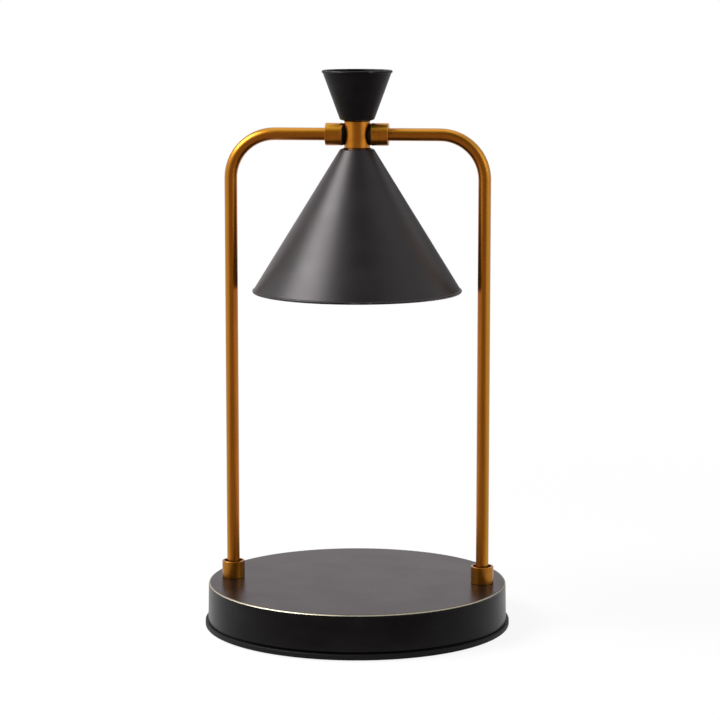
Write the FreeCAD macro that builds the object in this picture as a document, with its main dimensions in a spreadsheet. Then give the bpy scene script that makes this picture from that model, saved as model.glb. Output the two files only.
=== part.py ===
# Candle warmer lamp: a weighted round base, a fixed arch of bent tube and a conical shade that tilts on
# the arch's crossbar, so that its halogen lamp melts the candle below. Millimetres. The origin is the
# middle of the base on the surface that it stands on, +Z is up, the crossbar lies along X and the front
# faces -Y.

import FreeCAD
import Part

import math
import os
import re

import Sketcher

SIZES = {
    # bottom cover and its rubber feet
    "flange_radius": 85.0,
    "flange_thickness": 3.0,
    "flange_rounding": 0.6,
    "cover_floor": 2.2,
    "register_rise": 2.7,
    "register_wall": 1.6,
    "register_gap": 0.3,
    "rib_width": 1.6,
    "rib_rise": 3.0,
    "post_inset": 30.0,
    "post_radius": 4.0,
    "foot_inset": 14.0,
    "foot_radius": 6.0,
    "foot_thickness": 2.0,
    "foot_stand": 0.8,
    "foot_gap": 0.2,
    # pressed steel shell
    "base_height": 25.0,
    "shadow_gap": 0.5,
    "shell_inset": 1.6,
    "shell_draft": 0.4,
    "shell_wall": 1.0,
    "shell_edge": 1.3,
    "arm_hole_gap": 0.15,
    # ballast and the screws that hold the cover to it
    "ballast_thickness": 6.0,
    "ballast_gap": 1.5,
    "ballast_edge": 1.0,
    "cover_screw_radius": 1.5,
    "cover_screw_bite": 4.5,
    "cover_screw_head_radius": 2.8,
    "cover_screw_head": 1.8,
    "cover_screw_gap": 0.3,
    # cord inlet bush
    "inlet_height": 12.4,
    "inlet_bore_radius": 3.1,
    "inlet_sleeve_radius": 4.6,
    "inlet_flange_radius": 6.0,
    "inlet_flange": 1.3,
    "inlet_snap_radius": 5.1,
    "inlet_snap": 1.6,
    "inlet_depth": 9.0,
    "inlet_gap": 0.1,
    # terminal block
    "terminal_length": 16.0,
    "terminal_width": 17.0,
    "terminal_rise": 9.0,
    "terminal_pitch": 8.0,
    "clamp_radius": 2.3,
    "clamp_bore_radius": 1.0,
    "clamp_length": 13.0,
    "terminal_screw_radius": 1.2,
    "terminal_screw_pitch": 7.0,
    "terminal_screw_sink": 1.2,
    "screw_well_radius": 1.9,
    # arch
    "arm_inset": 13.4,
    "axle_height": 274.2,
    "tube_radius": 3.5,
    "tube_wall": 1.0,
    "bend_radius": 24.5,
    "foot_collar_radius": 6.3,
    "foot_collar_height": 9.7,
    "cup_wall": 1.0,
    "cup_depth": 2.4,
    "collar_edge": 0.2,
    "arm_washer_radius": 8.0,
    "arm_washer": 1.0,
    "arm_nut_width": 12.0,
    "arm_nut": 3.5,
    "arm_tail": 1.0,
    # lead inside the left arm
    "lead_radius": 1.6,
    "lead_bend": 5.7,
    "lead_straight": 4.3,
    "core_radius": 0.6,
    "core_offset": 0.7,
    "core_fan": 10.0,
    "core_bite": 6.5,
    # swivel: collars, axle, friction washers and hub
    "collar_radius": 6.2,
    "collar_length": 9.3,
    "tube_seat": 5.0,
    "grub_radius": 1.5,
    "grub_length": 3.0,
    "grub_place": 2.3,
    "grub_socket_width": 1.5,
    "grub_socket": 1.2,
    "axle_radius": 3.0,
    "axle_wall": 1.0,
    "running_gap": 0.05,
    "friction_washer_radius": 6.0,
    "hub_radius": 7.1,
    "hub_half_height": 7.4,
    "seat_offset": 4.8,
    "seat_angle": 50.5,
    "seat_clearance": 0.1,
    "washer_edge": 0.63,
    "hub_edge": 0.3,
    "tilt_limit": 75.0,
    "stop_tip_radius": 0.6,
    "stop_groove_depth": 0.7,
    "stop_gap": 0.1,
    "window_length": 5.0,
    "window_drop": 1.2,
    "cut_margin": 1.0,
    # shade and finial
    "neck_radius": 7.3,
    "hem_radius": 0.8,
    "shoulder_rounding": 1.0,
    "shade_wall": 0.8,
    "shade_shoulder_radius": 9.4,
    "shade_shoulder": 0.8,
    "shade_rim_radius": 57.8,
    "shade_rim_drop": 86.8,
    "finial_wall": 0.8,
    "finial_shoulder_radius": 9.45,
    "finial_shoulder": 0.7,
    "finial_rim_radius": 19.4,
    "finial_rim_rise": 34.9,
    "stud_radius": 2.0,
    "stud_washer_radius": 4.6,
    "stud_washer": 0.8,
    "stud_nut_width": 7.0,
    "stud_nut": 3.2,
    "stud_tail": 1.2,
    # hanging of the lamp holder
    "nipple_radius": 4.0,
    "nipple_wall": 1.2,
    "nipple_bite": 3.6,
    "nipple_tail": 1.0,
    "nipple_gap": 0.1,
    "lock_washer_radius": 6.6,
    "lock_washer": 0.8,
    "nipple_nut_width": 11.0,
    "nipple_nut": 3.0,
    "strap_thickness": 1.2,
    "strap_width": 11.0,
    "strap_half_span": 8.0,
    "strap_reach": 13.6,
    "strap_bend": 0.8,
    "holder_screw_offset": 11.0,
    "holder_screw_radius": 1.25,
    "holder_screw_head_radius": 2.2,
    "holder_screw_head": 1.4,
    "holder_screw_length": 8.0,
    # lamp holder
    "holder_drop": 21.5,
    "holder_cap": 3.0,
    "holder_radius": 14.0,
    "holder_height": 13.0,
    "holder_nose_radius": 12.6,
    "holder_nose": 7.0,
    "chamber_radius": 8.5,
    "holder_face": 4.5,
    "lead_hole_gap": 0.3,
    "contact_thickness": 0.5,
    "contact_width": 2.8,
    "contact_gap": 0.25,
    "contact_sweep": 56.0,
    "head_lead_radius": 1.5,
    # twist-lock reflector lamp
    "twist_angle": 25.0,
    "pin_circle_radius": 5.0,
    "pin_radius": 1.5,
    "pin_head_radius": 2.4,
    "pin_head": 2.4,
    "pin_length": 7.1,
    "pin_root": 3.5,
    "slot_gap": 0.25,
    "seat_gap": 0.2,
    "lamp_radius": 25.0,
    "lamp_length": 47.5,
    "lamp_base_radius": 10.5,
    "lamp_base": 7.0,
    "lamp_glass": 1.2,
    "lamp_bowl_radius": 57.5,
    "lamp_rim": 2.6,
    "lens_thickness": 1.5,
    "capsule_radius": 4.6,
    "capsule_length": 13.0,
    "pinch_length": 11.0,
    "pinch_width": 6.4,
    "pinch_thickness": 2.6,
}

# Levels and widths that several pieces share, as sums over the sheet's cells.
COVER_TOP = "(foot_stand + flange_thickness)"
COVER_FLOOR_TOP = "(foot_stand + cover_floor)"
SHELL_FOOT = f"({COVER_TOP} + shadow_gap)"
SHELL_RADIUS = "(flange_radius - shell_inset)"
SHELL_TOP_RADIUS = f"({SHELL_RADIUS} - shell_draft)"
REGISTER_RADIUS = f"({SHELL_RADIUS} - shell_wall - register_gap)"
POST_OFFSET = "((flange_radius - post_inset) / sqrt(2))"
FOOT_OFFSET = "((flange_radius - foot_inset) / sqrt(2))"
BALLAST_TOP = "(base_height - shell_wall)"
BALLAST_FOOT = f"({BALLAST_TOP} - ballast_thickness)"
ARM_NUT_FOOT = f"({BALLAST_FOOT} - arm_washer - arm_nut)"
ARM_FOOT = f"({ARM_NUT_FOOT} - arm_tail)"
ARM_OFFSET = f"({SHELL_RADIUS} - arm_inset)"
LEAD_RISE = f"({ARM_FOOT} - lead_bend - {COVER_FLOOR_TOP})"
LEAD_RUN = "(lead_bend + lead_straight + core_fan)"
TUBE_BORE = "(tube_radius - tube_wall)"
WASHER_SEAT = "(seat_offset + seat_clearance)"
WASHER_RIM = "((friction_washer_radius - axle_radius) / tan(seat_angle))"
COLLAR_START = f"({WASHER_SEAT} + {WASHER_RIM} + washer_edge)"
TUBE_TIP = f"({COLLAR_START} + collar_length - tube_seat)"
AXLE_BORE = "(axle_radius - axle_wall)"
GRUB_PLACE = f"({COLLAR_START} + grub_place)"
SHADE_PLATE_FOOT = "(-hub_half_height - shade_wall)"
UPPER_NUT_TOP = f"({SHADE_PLATE_FOOT} - lock_washer)"
STRAP_TOP = f"({UPPER_NUT_TOP} - nipple_nut)"
LOWER_NUT_TOP = f"({STRAP_TOP} - strap_thickness)"
NIPPLE_FOOT = f"({LOWER_NUT_TOP} - nipple_nut - nipple_tail)"
HOLDER_TOP = "(-holder_drop)"
HOLDER_BODY_TOP = "(-holder_drop - holder_cap)"
HOLDER_FACE = f"({HOLDER_BODY_TOP} - holder_height)"
CHAMBER_FLOOR = f"({HOLDER_FACE} + holder_face)"
PIN_TOP = f"({HOLDER_FACE} + pin_length)"
LAMP_TOP = f"({HOLDER_FACE} - seat_gap)"
LAMP_FACE = f"({HOLDER_FACE} - lamp_length)"
POLES = ("-terminal_pitch / 2", "terminal_pitch / 2")
SCREW_ROWS = ("(terminal_length - terminal_screw_pitch) / 2", "(terminal_length + terminal_screw_pitch) / 2")
TERMINAL_SCREWS = [(row, pole) for row in SCREW_ROWS for pole in POLES]
LEFT, RIGHT = -1, 1

UPRIGHT = FreeCAD.Rotation()
QUARTER_TURN = FreeCAD.Rotation(FreeCAD.Vector(0, 0, 1), 90)
TURNED_ABOUT = FreeCAD.Rotation(FreeCAD.Vector(0, 0, 1), 180)
# The piece's own axis lies along the crossbar and its own +X points down.
ALONG_BAR = FreeCAD.Rotation(FreeCAD.Vector(0, 1, 0), 90)
# The piece's own axis points to the back.
TO_THE_BACK = FreeCAD.Rotation(FreeCAD.Vector(1, 0, 0), -90)

doc = FreeCAD.newDocument("CandleWarmerLamp")


# ---- the sheet ---------------------------------------------------------------------------------------


def fill_sheet():
    sheet = doc.addObject("Spreadsheet::Sheet", "Sizes")
    for row, (alias, value) in enumerate(SIZES.items(), 1):
        sheet.set(f"A{row}", alias)
        sheet.set(f"B{row}", str(value))
        sheet.setAlias(f"B{row}", alias)
    doc.recompute()
    return sheet


def formula(text):
    """The sum with each size written as its cell in the sheet."""
    return re.sub(r"[a-z_]+", lambda word: f"Sizes.{word[0]}" if word[0] in SIZES else word[0], text)


def measure(text):
    return float(sizes.evalExpression(formula(text)))


sizes = fill_sheet()


# ---- bodies and sketches -----------------------------------------------------------------------------


def new_body(label, x="0", y="0", z="0", rotation=UPRIGHT):
    body = doc.addObject("PartDesign::Body", label)
    body.Label = label
    body.AllowCompound = True
    body.Placement = FreeCAD.Placement(FreeCAD.Vector(), rotation)
    for axis, place in (("x", x), ("y", y), ("z", z)):
        body.setExpression(f"Placement.Base.{axis}", formula(place))
    return body


def origin_part(body, role):
    return next(item for item in body.Origin.OriginFeatures if item.Role == role)


def new_sketch(body, plane, lift="0", turn=0):
    """A sketch on one of the body's own planes, moved along that plane's normal and turned about it.
    XZ_Plane's normal is -Y."""
    sketch = body.newObject("Sketcher::SketchObject", f"{body.Label}_sketch")
    sketch.AttachmentSupport = (origin_part(body, plane), [""])
    sketch.MapMode = "FlatFace"
    turned = FreeCAD.Rotation(FreeCAD.Vector(0, 0, 1), turn)
    sketch.AttachmentOffset = FreeCAD.Placement(FreeCAD.Vector(), turned)
    sketch.setExpression("AttachmentOffset.Base.z", formula(lift))
    return sketch


def dimension(sketch, kind, *items, size):
    index = sketch.addConstraint(Sketcher.Constraint(kind, *items, measure(size)))
    sketch.setExpression(f"Constraints[{index}]", formula(size))


def pin_point(sketch, edge, end, x, y):
    dimension(sketch, "DistanceX", -1, 1, edge, end, size=x)
    dimension(sketch, "DistanceY", -1, 1, edge, end, size=y)


def point(corner):
    return FreeCAD.Vector(measure(corner[0]), measure(corner[1]), 0)


def arc_between(start, end, radius, turn):
    """The short arc from start to end that turns left (1) or right (-1)."""
    chord = end - start
    rise = math.sqrt(max(radius**2 - (chord.Length / 2) ** 2, 0.0))
    leftwards = FreeCAD.Vector(-chord.y, chord.x, 0).normalize()
    centre = (start + end) / 2 + leftwards * rise * turn
    first, last = (start, end) if turn > 0 else (end, start)
    begins = math.atan2(first.y - centre.y, first.x - centre.x)
    ends = math.atan2(last.y - centre.y, last.x - centre.x)
    circle = Part.Circle(centre, FreeCAD.Vector(0, 0, 1), radius)
    return Part.ArcOfCircle(circle, begins, ends if ends > begins else ends + 2 * math.pi)


def trace(sketch, corners, closed=True):
    """Draws side after side from corner to corner. A corner is (x, y), or (x, y, radius, turn) where a
    round side arrives there, turning left (1) or right (-1)."""
    sides = []
    for index in range(0 if closed else 1, len(corners)):
        start, end = corners[index - 1], corners[index]
        if len(end) == 2:
            edge = sketch.addGeometry(Part.LineSegment(point(start), point(end)))
            sides.append((edge, 1, 2))
        else:
            radius, turn = end[2:]
            edge = sketch.addGeometry(arc_between(point(start), point(end), measure(radius), turn))
            dimension(sketch, "Radius", edge, size=radius)
            sides.append((edge, 1, 2) if turn > 0 else (edge, 2, 1))
        pin_point(sketch, edge, sides[-1][2], *end[:2])
    for before, after in zip(sides, sides[1:]):
        sketch.addConstraint(Sketcher.Constraint("Coincident", before[0], before[2], after[0], after[1]))
    if closed:
        before, after = sides[-1], sides[0]
        sketch.addConstraint(Sketcher.Constraint("Coincident", before[0], before[2], after[0], after[1]))
    else:
        pin_point(sketch, sides[0][0], sides[0][1], *corners[0][:2])


def mirrored(corners):
    """The corners on the other side of the sketch's vertical axis, in the opposite order."""
    rounds = [corner[2:] for corner in corners[1:]] + [()]
    pairs = reversed(list(zip(corners, rounds)))
    return [(f"-{corner[0]}", corner[1], *turned) for corner, turned in pairs]


def circle(sketch, radius, x="0", y="0"):
    centre = point((x, y))
    edge = sketch.addGeometry(Part.Circle(centre, FreeCAD.Vector(0, 0, 1), measure(radius)))
    pin_point(sketch, edge, 3, x, y)
    dimension(sketch, "Radius", edge, size=radius)


def box(sketch, low_x, high_x, low_y, high_y):
    trace(sketch, [(low_x, low_y), (high_x, low_y), (high_x, high_y), (low_x, high_y)])


def hexagon(sketch, width, x="0", y="0"):
    """A hexagon of this width across its flats."""
    reach = f"({width} / sqrt(3))"
    turns = range(0, 360, 60)
    trace(sketch, [(f"{x} + {reach} * cos({turn})", f"{y} + {reach} * sin({turn})") for turn in turns])


# ---- features ----------------------------------------------------------------------------------------


def extrusion(body, kind, sketch, length, both_ways, backwards):
    made = body.newObject(kind, f"{body.Label}_{kind[12:].lower()}")
    made.Profile = sketch
    if length:
        made.setExpression("Length", formula(length))
    else:
        made.Type = "ThroughAll"
    made.SideType = "Symmetric" if both_ways else "One side"
    made.Reversed = backwards
    return made


def pad(body, sketch, length, both_ways=False, backwards=False):
    return extrusion(body, "PartDesign::Pad", sketch, length, both_ways, backwards)


def pocket(body, sketch, length=None, both_ways=False, backwards=False):
    """Cuts against the sketch's normal, or along it where backwards. No length cuts right through."""
    return extrusion(body, "PartDesign::Pocket", sketch, length, both_ways, backwards)


def turning(body, kind, corners, angle, both_ways):
    sketch = new_sketch(body, "XZ_Plane")
    trace(sketch, corners)
    made = body.newObject(kind, f"{body.Label}_{kind[12:].lower()}")
    made.Profile = sketch
    made.ReferenceAxis = (sketch, ["V_Axis"])
    made.setExpression("Angle", formula(angle))
    made.Midplane = both_ways
    return made


def revolve(body, corners, angle="360", both_ways=False):
    """Turns an outline of (radius, height) corners about the body's own axis."""
    return turning(body, "PartDesign::Revolution", corners, angle, both_ways)


def groove(body, corners, angle="360", both_ways=False):
    return turning(body, "PartDesign::Groove", corners, angle, both_ways)


def pipe(body, section, route):
    made = body.newObject("PartDesign::AdditivePipe", f"{body.Label}_pipe")
    made.Profile = section
    made.Spine = route
    return made


def opposite_pair(body, features):
    """Repeats the features half a turn round the body's own axis."""
    pattern = body.newObject("PartDesign::PolarPattern", f"{body.Label}_pair")
    pattern.Originals = features
    pattern.Axis = (origin_part(body, "Z_Axis"), [""])
    pattern.Angle = 360
    pattern.Occurrences = 2
    body.Tip = pattern


def is_ring(edge, rings):
    curve = edge.Curve
    if not isinstance(curve, Part.Circle) or abs(abs(curve.Axis.z) - 1) > 1e-6:
        return False
    on_axis = math.hypot(curve.Center.x, curve.Center.y) < 1e-4
    return on_axis and any(math.hypot(curve.Radius - r, curve.Center.z - z) < 1e-3 for r, z in rings)


def ease_rings(body, kind, size, rings):
    """Rounds or bevels the body's circular edges of these (radius, height) pairs."""
    doc.recompute()
    wanted = [(measure(radius), measure(height)) for radius, height in rings]
    names = [f"Edge{number}" for number, edge in enumerate(body.Tip.Shape.Edges, 1) if is_ring(edge, wanted)]
    made = body.newObject(f"PartDesign::{kind}", f"{body.Label}_{kind.lower()}")
    made.Base = (body.Group[-2], names)
    made.setExpression("Radius" if kind == "Fillet" else "Size", formula(size))
    return made


def four_circles(sketch, radius, offset):
    for x in (f"-{offset}", offset):
        for y in (f"-{offset}", offset):
            circle(sketch, radius, x, y)


def ring(label, inner, outer, foot, height, **place):
    """A plain washer or sleeve that stands on foot."""
    body = new_body(label, **place)
    sketch = new_sketch(body, "XY_Plane", foot)
    circle(sketch, outer)
    circle(sketch, inner)
    pad(body, sketch, height)
    return body


def hex_nut(body, bore, width, foot, height):
    sketch = new_sketch(body, "XY_Plane", foot)
    hexagon(sketch, width)
    circle(sketch, bore)
    pad(body, sketch, height)


# ---- base --------------------------------------------------------------------------------------------


def bottom_cover():
    """Moulded cover: a flange wider than the shell, a step that carries the shell's edge, a ring that centres
    it, four posts that reach the ballast and two ribs that cross through them."""
    body = new_body("bottom_cover")
    step_radius = f"({SHELL_RADIUS} - shell_wall / 2)"
    register_inside = f"({REGISTER_RADIUS} - register_wall)"
    revolve(
        body,
        [
            ("0", "foot_stand"),
            ("flange_radius", "foot_stand"),
            ("flange_radius", COVER_TOP),
            (step_radius, COVER_TOP),
            (step_radius, SHELL_FOOT),
            (REGISTER_RADIUS, SHELL_FOOT),
            (REGISTER_RADIUS, f"{SHELL_FOOT} + register_rise"),
            (register_inside, f"{SHELL_FOOT} + register_rise"),
            (register_inside, COVER_FLOOR_TOP),
            ("0", COVER_FLOOR_TOP),
        ],
    )
    flange_edges = [("flange_radius", "foot_stand"), ("flange_radius", COVER_TOP)]
    ease_rings(body, "Fillet", "flange_rounding", flange_edges)
    for diagonal in (45, -45):
        rib = new_sketch(body, "XY_Plane", COVER_FLOOR_TOP, diagonal)
        rib_end = f"({register_inside} + register_wall / 2)"
        box(rib, f"-{rib_end}", rib_end, "-rib_width / 2", "rib_width / 2")
        pad(body, rib, "rib_rise")
    posts = new_sketch(body, "XY_Plane", COVER_FLOOR_TOP)
    four_circles(posts, "post_radius", POST_OFFSET)
    pad(body, posts, f"{BALLAST_FOOT} - {COVER_FLOOR_TOP}")
    shafts = new_sketch(body, "XY_Plane", BALLAST_FOOT)
    four_circles(shafts, "(cover_screw_radius + cover_screw_gap)", POST_OFFSET)
    pocket(body, shafts)
    heads = new_sketch(body, "XY_Plane", "foot_stand")
    four_circles(heads, "(cover_screw_head_radius + cover_screw_gap)", POST_OFFSET)
    pocket(body, heads, "cover_screw_head + cover_screw_gap", backwards=True)
    seats = new_sketch(body, "XY_Plane", "foot_stand")
    four_circles(seats, "(foot_radius + foot_gap)", FOOT_OFFSET)
    pocket(body, seats, "foot_thickness - foot_stand", backwards=True)
    return body


def foot_pads():
    body = new_body("foot_pads")
    sketch = new_sketch(body, "XY_Plane")
    four_circles(sketch, "foot_radius", FOOT_OFFSET)
    pad(body, sketch, "foot_thickness")
    return body


def base_shell():
    """Pressed steel pan, open below, with the arms' two holes in its top and the cord's in its back wall."""
    body = new_body("base_shell")
    inner_radius = f"({SHELL_RADIUS} - shell_wall)"
    inner_top_radius = f"({SHELL_TOP_RADIUS} - shell_wall)"
    revolve(
        body,
        [
            ("0", BALLAST_TOP),
            (inner_top_radius, BALLAST_TOP),
            (inner_radius, SHELL_FOOT),
            (SHELL_RADIUS, SHELL_FOOT),
            (SHELL_TOP_RADIUS, "base_height"),
            ("0", "base_height"),
        ],
    )
    ease_rings(body, "Fillet", "shell_edge", [(SHELL_TOP_RADIUS, "base_height")])
    ease_rings(body, "Fillet", "shell_edge - shell_wall", [(inner_top_radius, BALLAST_TOP)])
    arm_holes = new_sketch(body, "XY_Plane", "base_height")
    for x in (f"-{ARM_OFFSET}", ARM_OFFSET):
        circle(arm_holes, "tube_radius + arm_hole_gap", x)
    pocket(body, arm_holes)
    inlet = new_sketch(body, "XZ_Plane")
    circle(inlet, "inlet_sleeve_radius + inlet_gap", "0", "inlet_height")
    pocket(body, inlet)
    return body


def ballast_disc():
    """Cast-iron weight that the arms' nuts clamp up against the shell's top."""
    body = new_body("ballast_disc")
    radius = f"({SHELL_TOP_RADIUS} - shell_wall - ballast_gap)"
    revolve(body, [("0", BALLAST_FOOT), (radius, BALLAST_FOOT), (radius, BALLAST_TOP), ("0", BALLAST_TOP)])
    ease_rings(body, "Chamfer", "ballast_edge", [(radius, BALLAST_FOOT), (radius, BALLAST_TOP)])
    arm_holes = new_sketch(body, "XY_Plane", BALLAST_TOP)
    for x in (f"-{ARM_OFFSET}", ARM_OFFSET):
        circle(arm_holes, "tube_radius + arm_hole_gap", x)
    pocket(body, arm_holes)
    tapped = new_sketch(body, "XY_Plane", BALLAST_FOOT)
    four_circles(tapped, "cover_screw_radius", POST_OFFSET)
    pocket(body, tapped, "cover_screw_bite", backwards=True)
    return body


def cover_screws():
    body = new_body("cover_screws")
    head_top = "(foot_stand + cover_screw_head + cover_screw_gap)"
    heads = new_sketch(body, "XY_Plane", f"{head_top} - cover_screw_head")
    four_circles(heads, "cover_screw_head_radius", POST_OFFSET)
    pad(body, heads, "cover_screw_head")
    shafts = new_sketch(body, "XY_Plane", head_top)
    four_circles(shafts, "cover_screw_radius", POST_OFFSET)
    pad(body, shafts, f"{BALLAST_FOOT} + cover_screw_bite - {head_top}")
    return body


def cord_inlet_bush():
    """Snap-in bush in the shell's back wall: an outer flange, a sleeve through the wall and a snap ring
    inside it."""
    body = new_body("cord_inlet_bush", z="inlet_height", rotation=TO_THE_BACK)
    outside = SHELL_RADIUS
    inside = f"({SHELL_TOP_RADIUS} - shell_wall - inlet_gap)"
    tip = f"({outside} + inlet_flange - inlet_depth)"
    revolve(
        body,
        [
            ("inlet_bore_radius", f"{outside} + inlet_flange"),
            ("inlet_bore_radius", tip),
            ("inlet_sleeve_radius", tip),
            ("inlet_snap_radius", f"{inside} - inlet_snap"),
            ("inlet_snap_radius", inside),
            ("inlet_sleeve_radius", inside),
            ("inlet_sleeve_radius", outside),
            ("inlet_flange_radius", outside),
            ("inlet_flange_radius", f"{outside} + inlet_flange"),
        ],
    )
    return body


def terminal_block():
    """Two-pole block on the cover's floor: each pole is a bore from end to end, with two screws down into
    it."""
    body = new_body("terminal_block", x=f"{LEAD_RUN} - {ARM_OFFSET}", z=COVER_FLOOR_TOP)
    sketch = new_sketch(body, "XY_Plane")
    box(sketch, "0", "terminal_length", "-terminal_width / 2", "terminal_width / 2")
    pad(body, sketch, "terminal_rise")
    poles = new_sketch(body, "YZ_Plane")
    for y in POLES:
        circle(poles, "clamp_radius", y, LEAD_RISE)
    pocket(body, poles, backwards=True)
    screws = new_sketch(body, "XY_Plane", "terminal_rise")
    for x, y in TERMINAL_SCREWS:
        circle(screws, "screw_well_radius", x, y)
    pocket(body, screws, f"terminal_rise - {LEAD_RISE}")
    return body


def terminal_clamps():
    body = new_body("terminal_clamps", x=f"{LEAD_RUN} - {ARM_OFFSET}", z=COVER_FLOOR_TOP)
    sketch = new_sketch(body, "YZ_Plane", "(terminal_length - clamp_length) / 2")
    for y in POLES:
        circle(sketch, "clamp_radius", y, LEAD_RISE)
        circle(sketch, "clamp_bore_radius", y, LEAD_RISE)
    pad(body, sketch, "clamp_length")
    taps = new_sketch(body, "XY_Plane", "terminal_rise")
    for x, y in TERMINAL_SCREWS:
        circle(taps, "terminal_screw_radius", x, y)
    pocket(body, taps, f"terminal_rise - {LEAD_RISE}")
    return body


def terminal_screws():
    body = new_body("terminal_screws", x=f"{LEAD_RUN} - {ARM_OFFSET}", z=COVER_FLOOR_TOP)
    tip = f"({LEAD_RISE} + core_radius)"
    shafts = new_sketch(body, "XY_Plane", tip)
    for x, y in TERMINAL_SCREWS:
        circle(shafts, "terminal_screw_radius", x, y)
    pad(body, shafts, f"terminal_rise - terminal_screw_sink - {tip}")
    return body


# ---- arch --------------------------------------------------------------------------------------------


def side_name(side):
    return "left" if side == LEFT else "right"


def about(side):
    return TURNED_ABOUT if side == RIGHT else UPRIGHT


def across(side):
    """Own axis along the bar, away from the hub on this side; own +X down on both sides."""
    return ALONG_BAR if side == RIGHT else TURNED_ABOUT.multiply(ALONG_BAR)


def arm_x(side):
    return ARM_OFFSET if side == RIGHT else f"-{ARM_OFFSET}"


def arm_route(foot):
    """Up from foot, round the bend and along the bar; local X runs inwards from the arm."""
    straight_top = f"(axle_height - bend_radius - {foot})"
    return [("0", "0"), ("0", straight_top), ("bend_radius", f"axle_height - {foot}", "bend_radius", -1)]


def arm_tube(side):
    body = new_body(f"{side_name(side)}_arm_tube", x=arm_x(side), z=ARM_FOOT, rotation=about(side))
    section = new_sketch(body, "XY_Plane")
    circle(section, "tube_radius")
    circle(section, TUBE_BORE)
    route = new_sketch(body, "XZ_Plane")
    along_bar = (f"{ARM_OFFSET} - {TUBE_TIP}", f"axle_height - {ARM_FOOT}")
    trace(route, arm_route(ARM_FOOT) + [along_bar], closed=False)
    pipe(body, section, route)
    return body


def foot_collar(side):
    """Turned ferrule pressed on the arm, with a cup round the tube at its top."""
    body = new_body(f"{side_name(side)}_foot_collar", x=arm_x(side), z="base_height")
    revolve(
        body,
        [
            ("tube_radius", "0"),
            ("foot_collar_radius", "0"),
            ("foot_collar_radius", "foot_collar_height"),
            ("foot_collar_radius - cup_wall", "foot_collar_height"),
            ("foot_collar_radius - cup_wall", "foot_collar_height - cup_depth"),
            ("tube_radius", "foot_collar_height - cup_depth"),
        ],
    )
    ends = [("foot_collar_radius", "0"), ("foot_collar_radius", "foot_collar_height")]
    ease_rings(body, "Chamfer", "collar_edge", ends)
    return body


def foot_washer(side):
    label = f"{side_name(side)}_foot_washer"
    inner = "tube_radius + arm_hole_gap"
    foot = f"{BALLAST_FOOT} - arm_washer"
    return ring(label, inner, "arm_washer_radius", foot, "arm_washer", x=arm_x(side))


def foot_nut(side):
    body = new_body(f"{side_name(side)}_foot_nut", x=arm_x(side))
    hex_nut(body, "tube_radius", "arm_nut_width", ARM_NUT_FOOT, "arm_nut")
    return body


def arm_lead():
    """Sleeved lead up the left arm and along the bar into the axle. At its foot the two cores leave the
    sleeve side by side and swing apart, each into its own clamp."""
    body = new_body("arm_lead", x=f"-{ARM_OFFSET}", z=ARM_FOOT)
    sleeve_end = "(lead_bend + lead_straight)"
    section = new_sketch(body, "YZ_Plane", sleeve_end)
    circle(section, "lead_radius", "0", "-lead_bend")
    route = new_sketch(body, "XZ_Plane")
    up, bend = arm_route(ARM_FOOT)[1:]
    tip = (f"{ARM_OFFSET} - window_length / 2 - lead_radius", f"axle_height - {ARM_FOOT}")
    along_floor = [(sleeve_end, "-lead_bend"), ("lead_bend", "-lead_bend")]
    trace(route, along_floor + [("0", "0", "lead_bend", -1), up, bend, tip], closed=False)
    pipe(body, section, route)
    step = "(terminal_pitch / 2 - core_offset)"
    swing = f"((core_fan ^ 2 + {step} ^ 2) / (4 * {step}))"
    for sign, turn in (("", 1), ("-", -1)):
        core = new_sketch(body, "YZ_Plane", sleeve_end)
        circle(core, "core_radius", f"{sign}core_offset", "-lead_bend")
        path = new_sketch(body, "XY_Plane", "-lead_bend")
        halfway = (f"{LEAD_RUN} - core_fan / 2", f"{sign}(core_offset + {step} / 2)", swing, turn)
        at_block = (LEAD_RUN, f"{sign}(terminal_pitch / 2)", swing, -turn)
        inside = (f"{LEAD_RUN} + core_bite", f"{sign}(terminal_pitch / 2)")
        trace(path, [(sleeve_end, f"{sign}core_offset"), halfway, at_block, inside], closed=False)
        pipe(body, core, path)
    return body


# ---- swivel ------------------------------------------------------------------------------------------


def pivot_collar(side):
    """Turned collar: one end is bored for the arm's tube, the other for the axle, which a grub screw
    holds."""
    body = new_body(f"{side_name(side)}_pivot_collar", z="axle_height", rotation=across(side))
    far_end = f"({COLLAR_START} + collar_length)"
    revolve(
        body,
        [
            ("axle_radius", COLLAR_START),
            ("collar_radius", COLLAR_START),
            ("collar_radius", far_end),
            ("tube_radius", far_end),
            ("tube_radius", TUBE_TIP),
            ("axle_radius", TUBE_TIP),
        ],
    )
    ends = [("collar_radius", COLLAR_START), ("collar_radius", far_end)]
    ease_rings(body, "Chamfer", "collar_edge", ends)
    tapped = new_sketch(body, "YZ_Plane")
    circle(tapped, "grub_radius", "0", GRUB_PLACE)
    pocket(body, tapped, backwards=True)
    return body


def grub_screws():
    body = new_body("grub_screws", z="axle_height", rotation=ALONG_BAR)
    sketch = new_sketch(body, "YZ_Plane", "axle_radius")
    for x in (f"-{GRUB_PLACE}", GRUB_PLACE):
        circle(sketch, "grub_radius", "0", x)
    pad(body, sketch, "grub_length")
    sockets = new_sketch(body, "YZ_Plane", "axle_radius + grub_length")
    for x in (f"-{GRUB_PLACE}", GRUB_PLACE):
        hexagon(sockets, "grub_socket_width", "0", x)
    pocket(body, sockets, "grub_socket")
    return body


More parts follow.
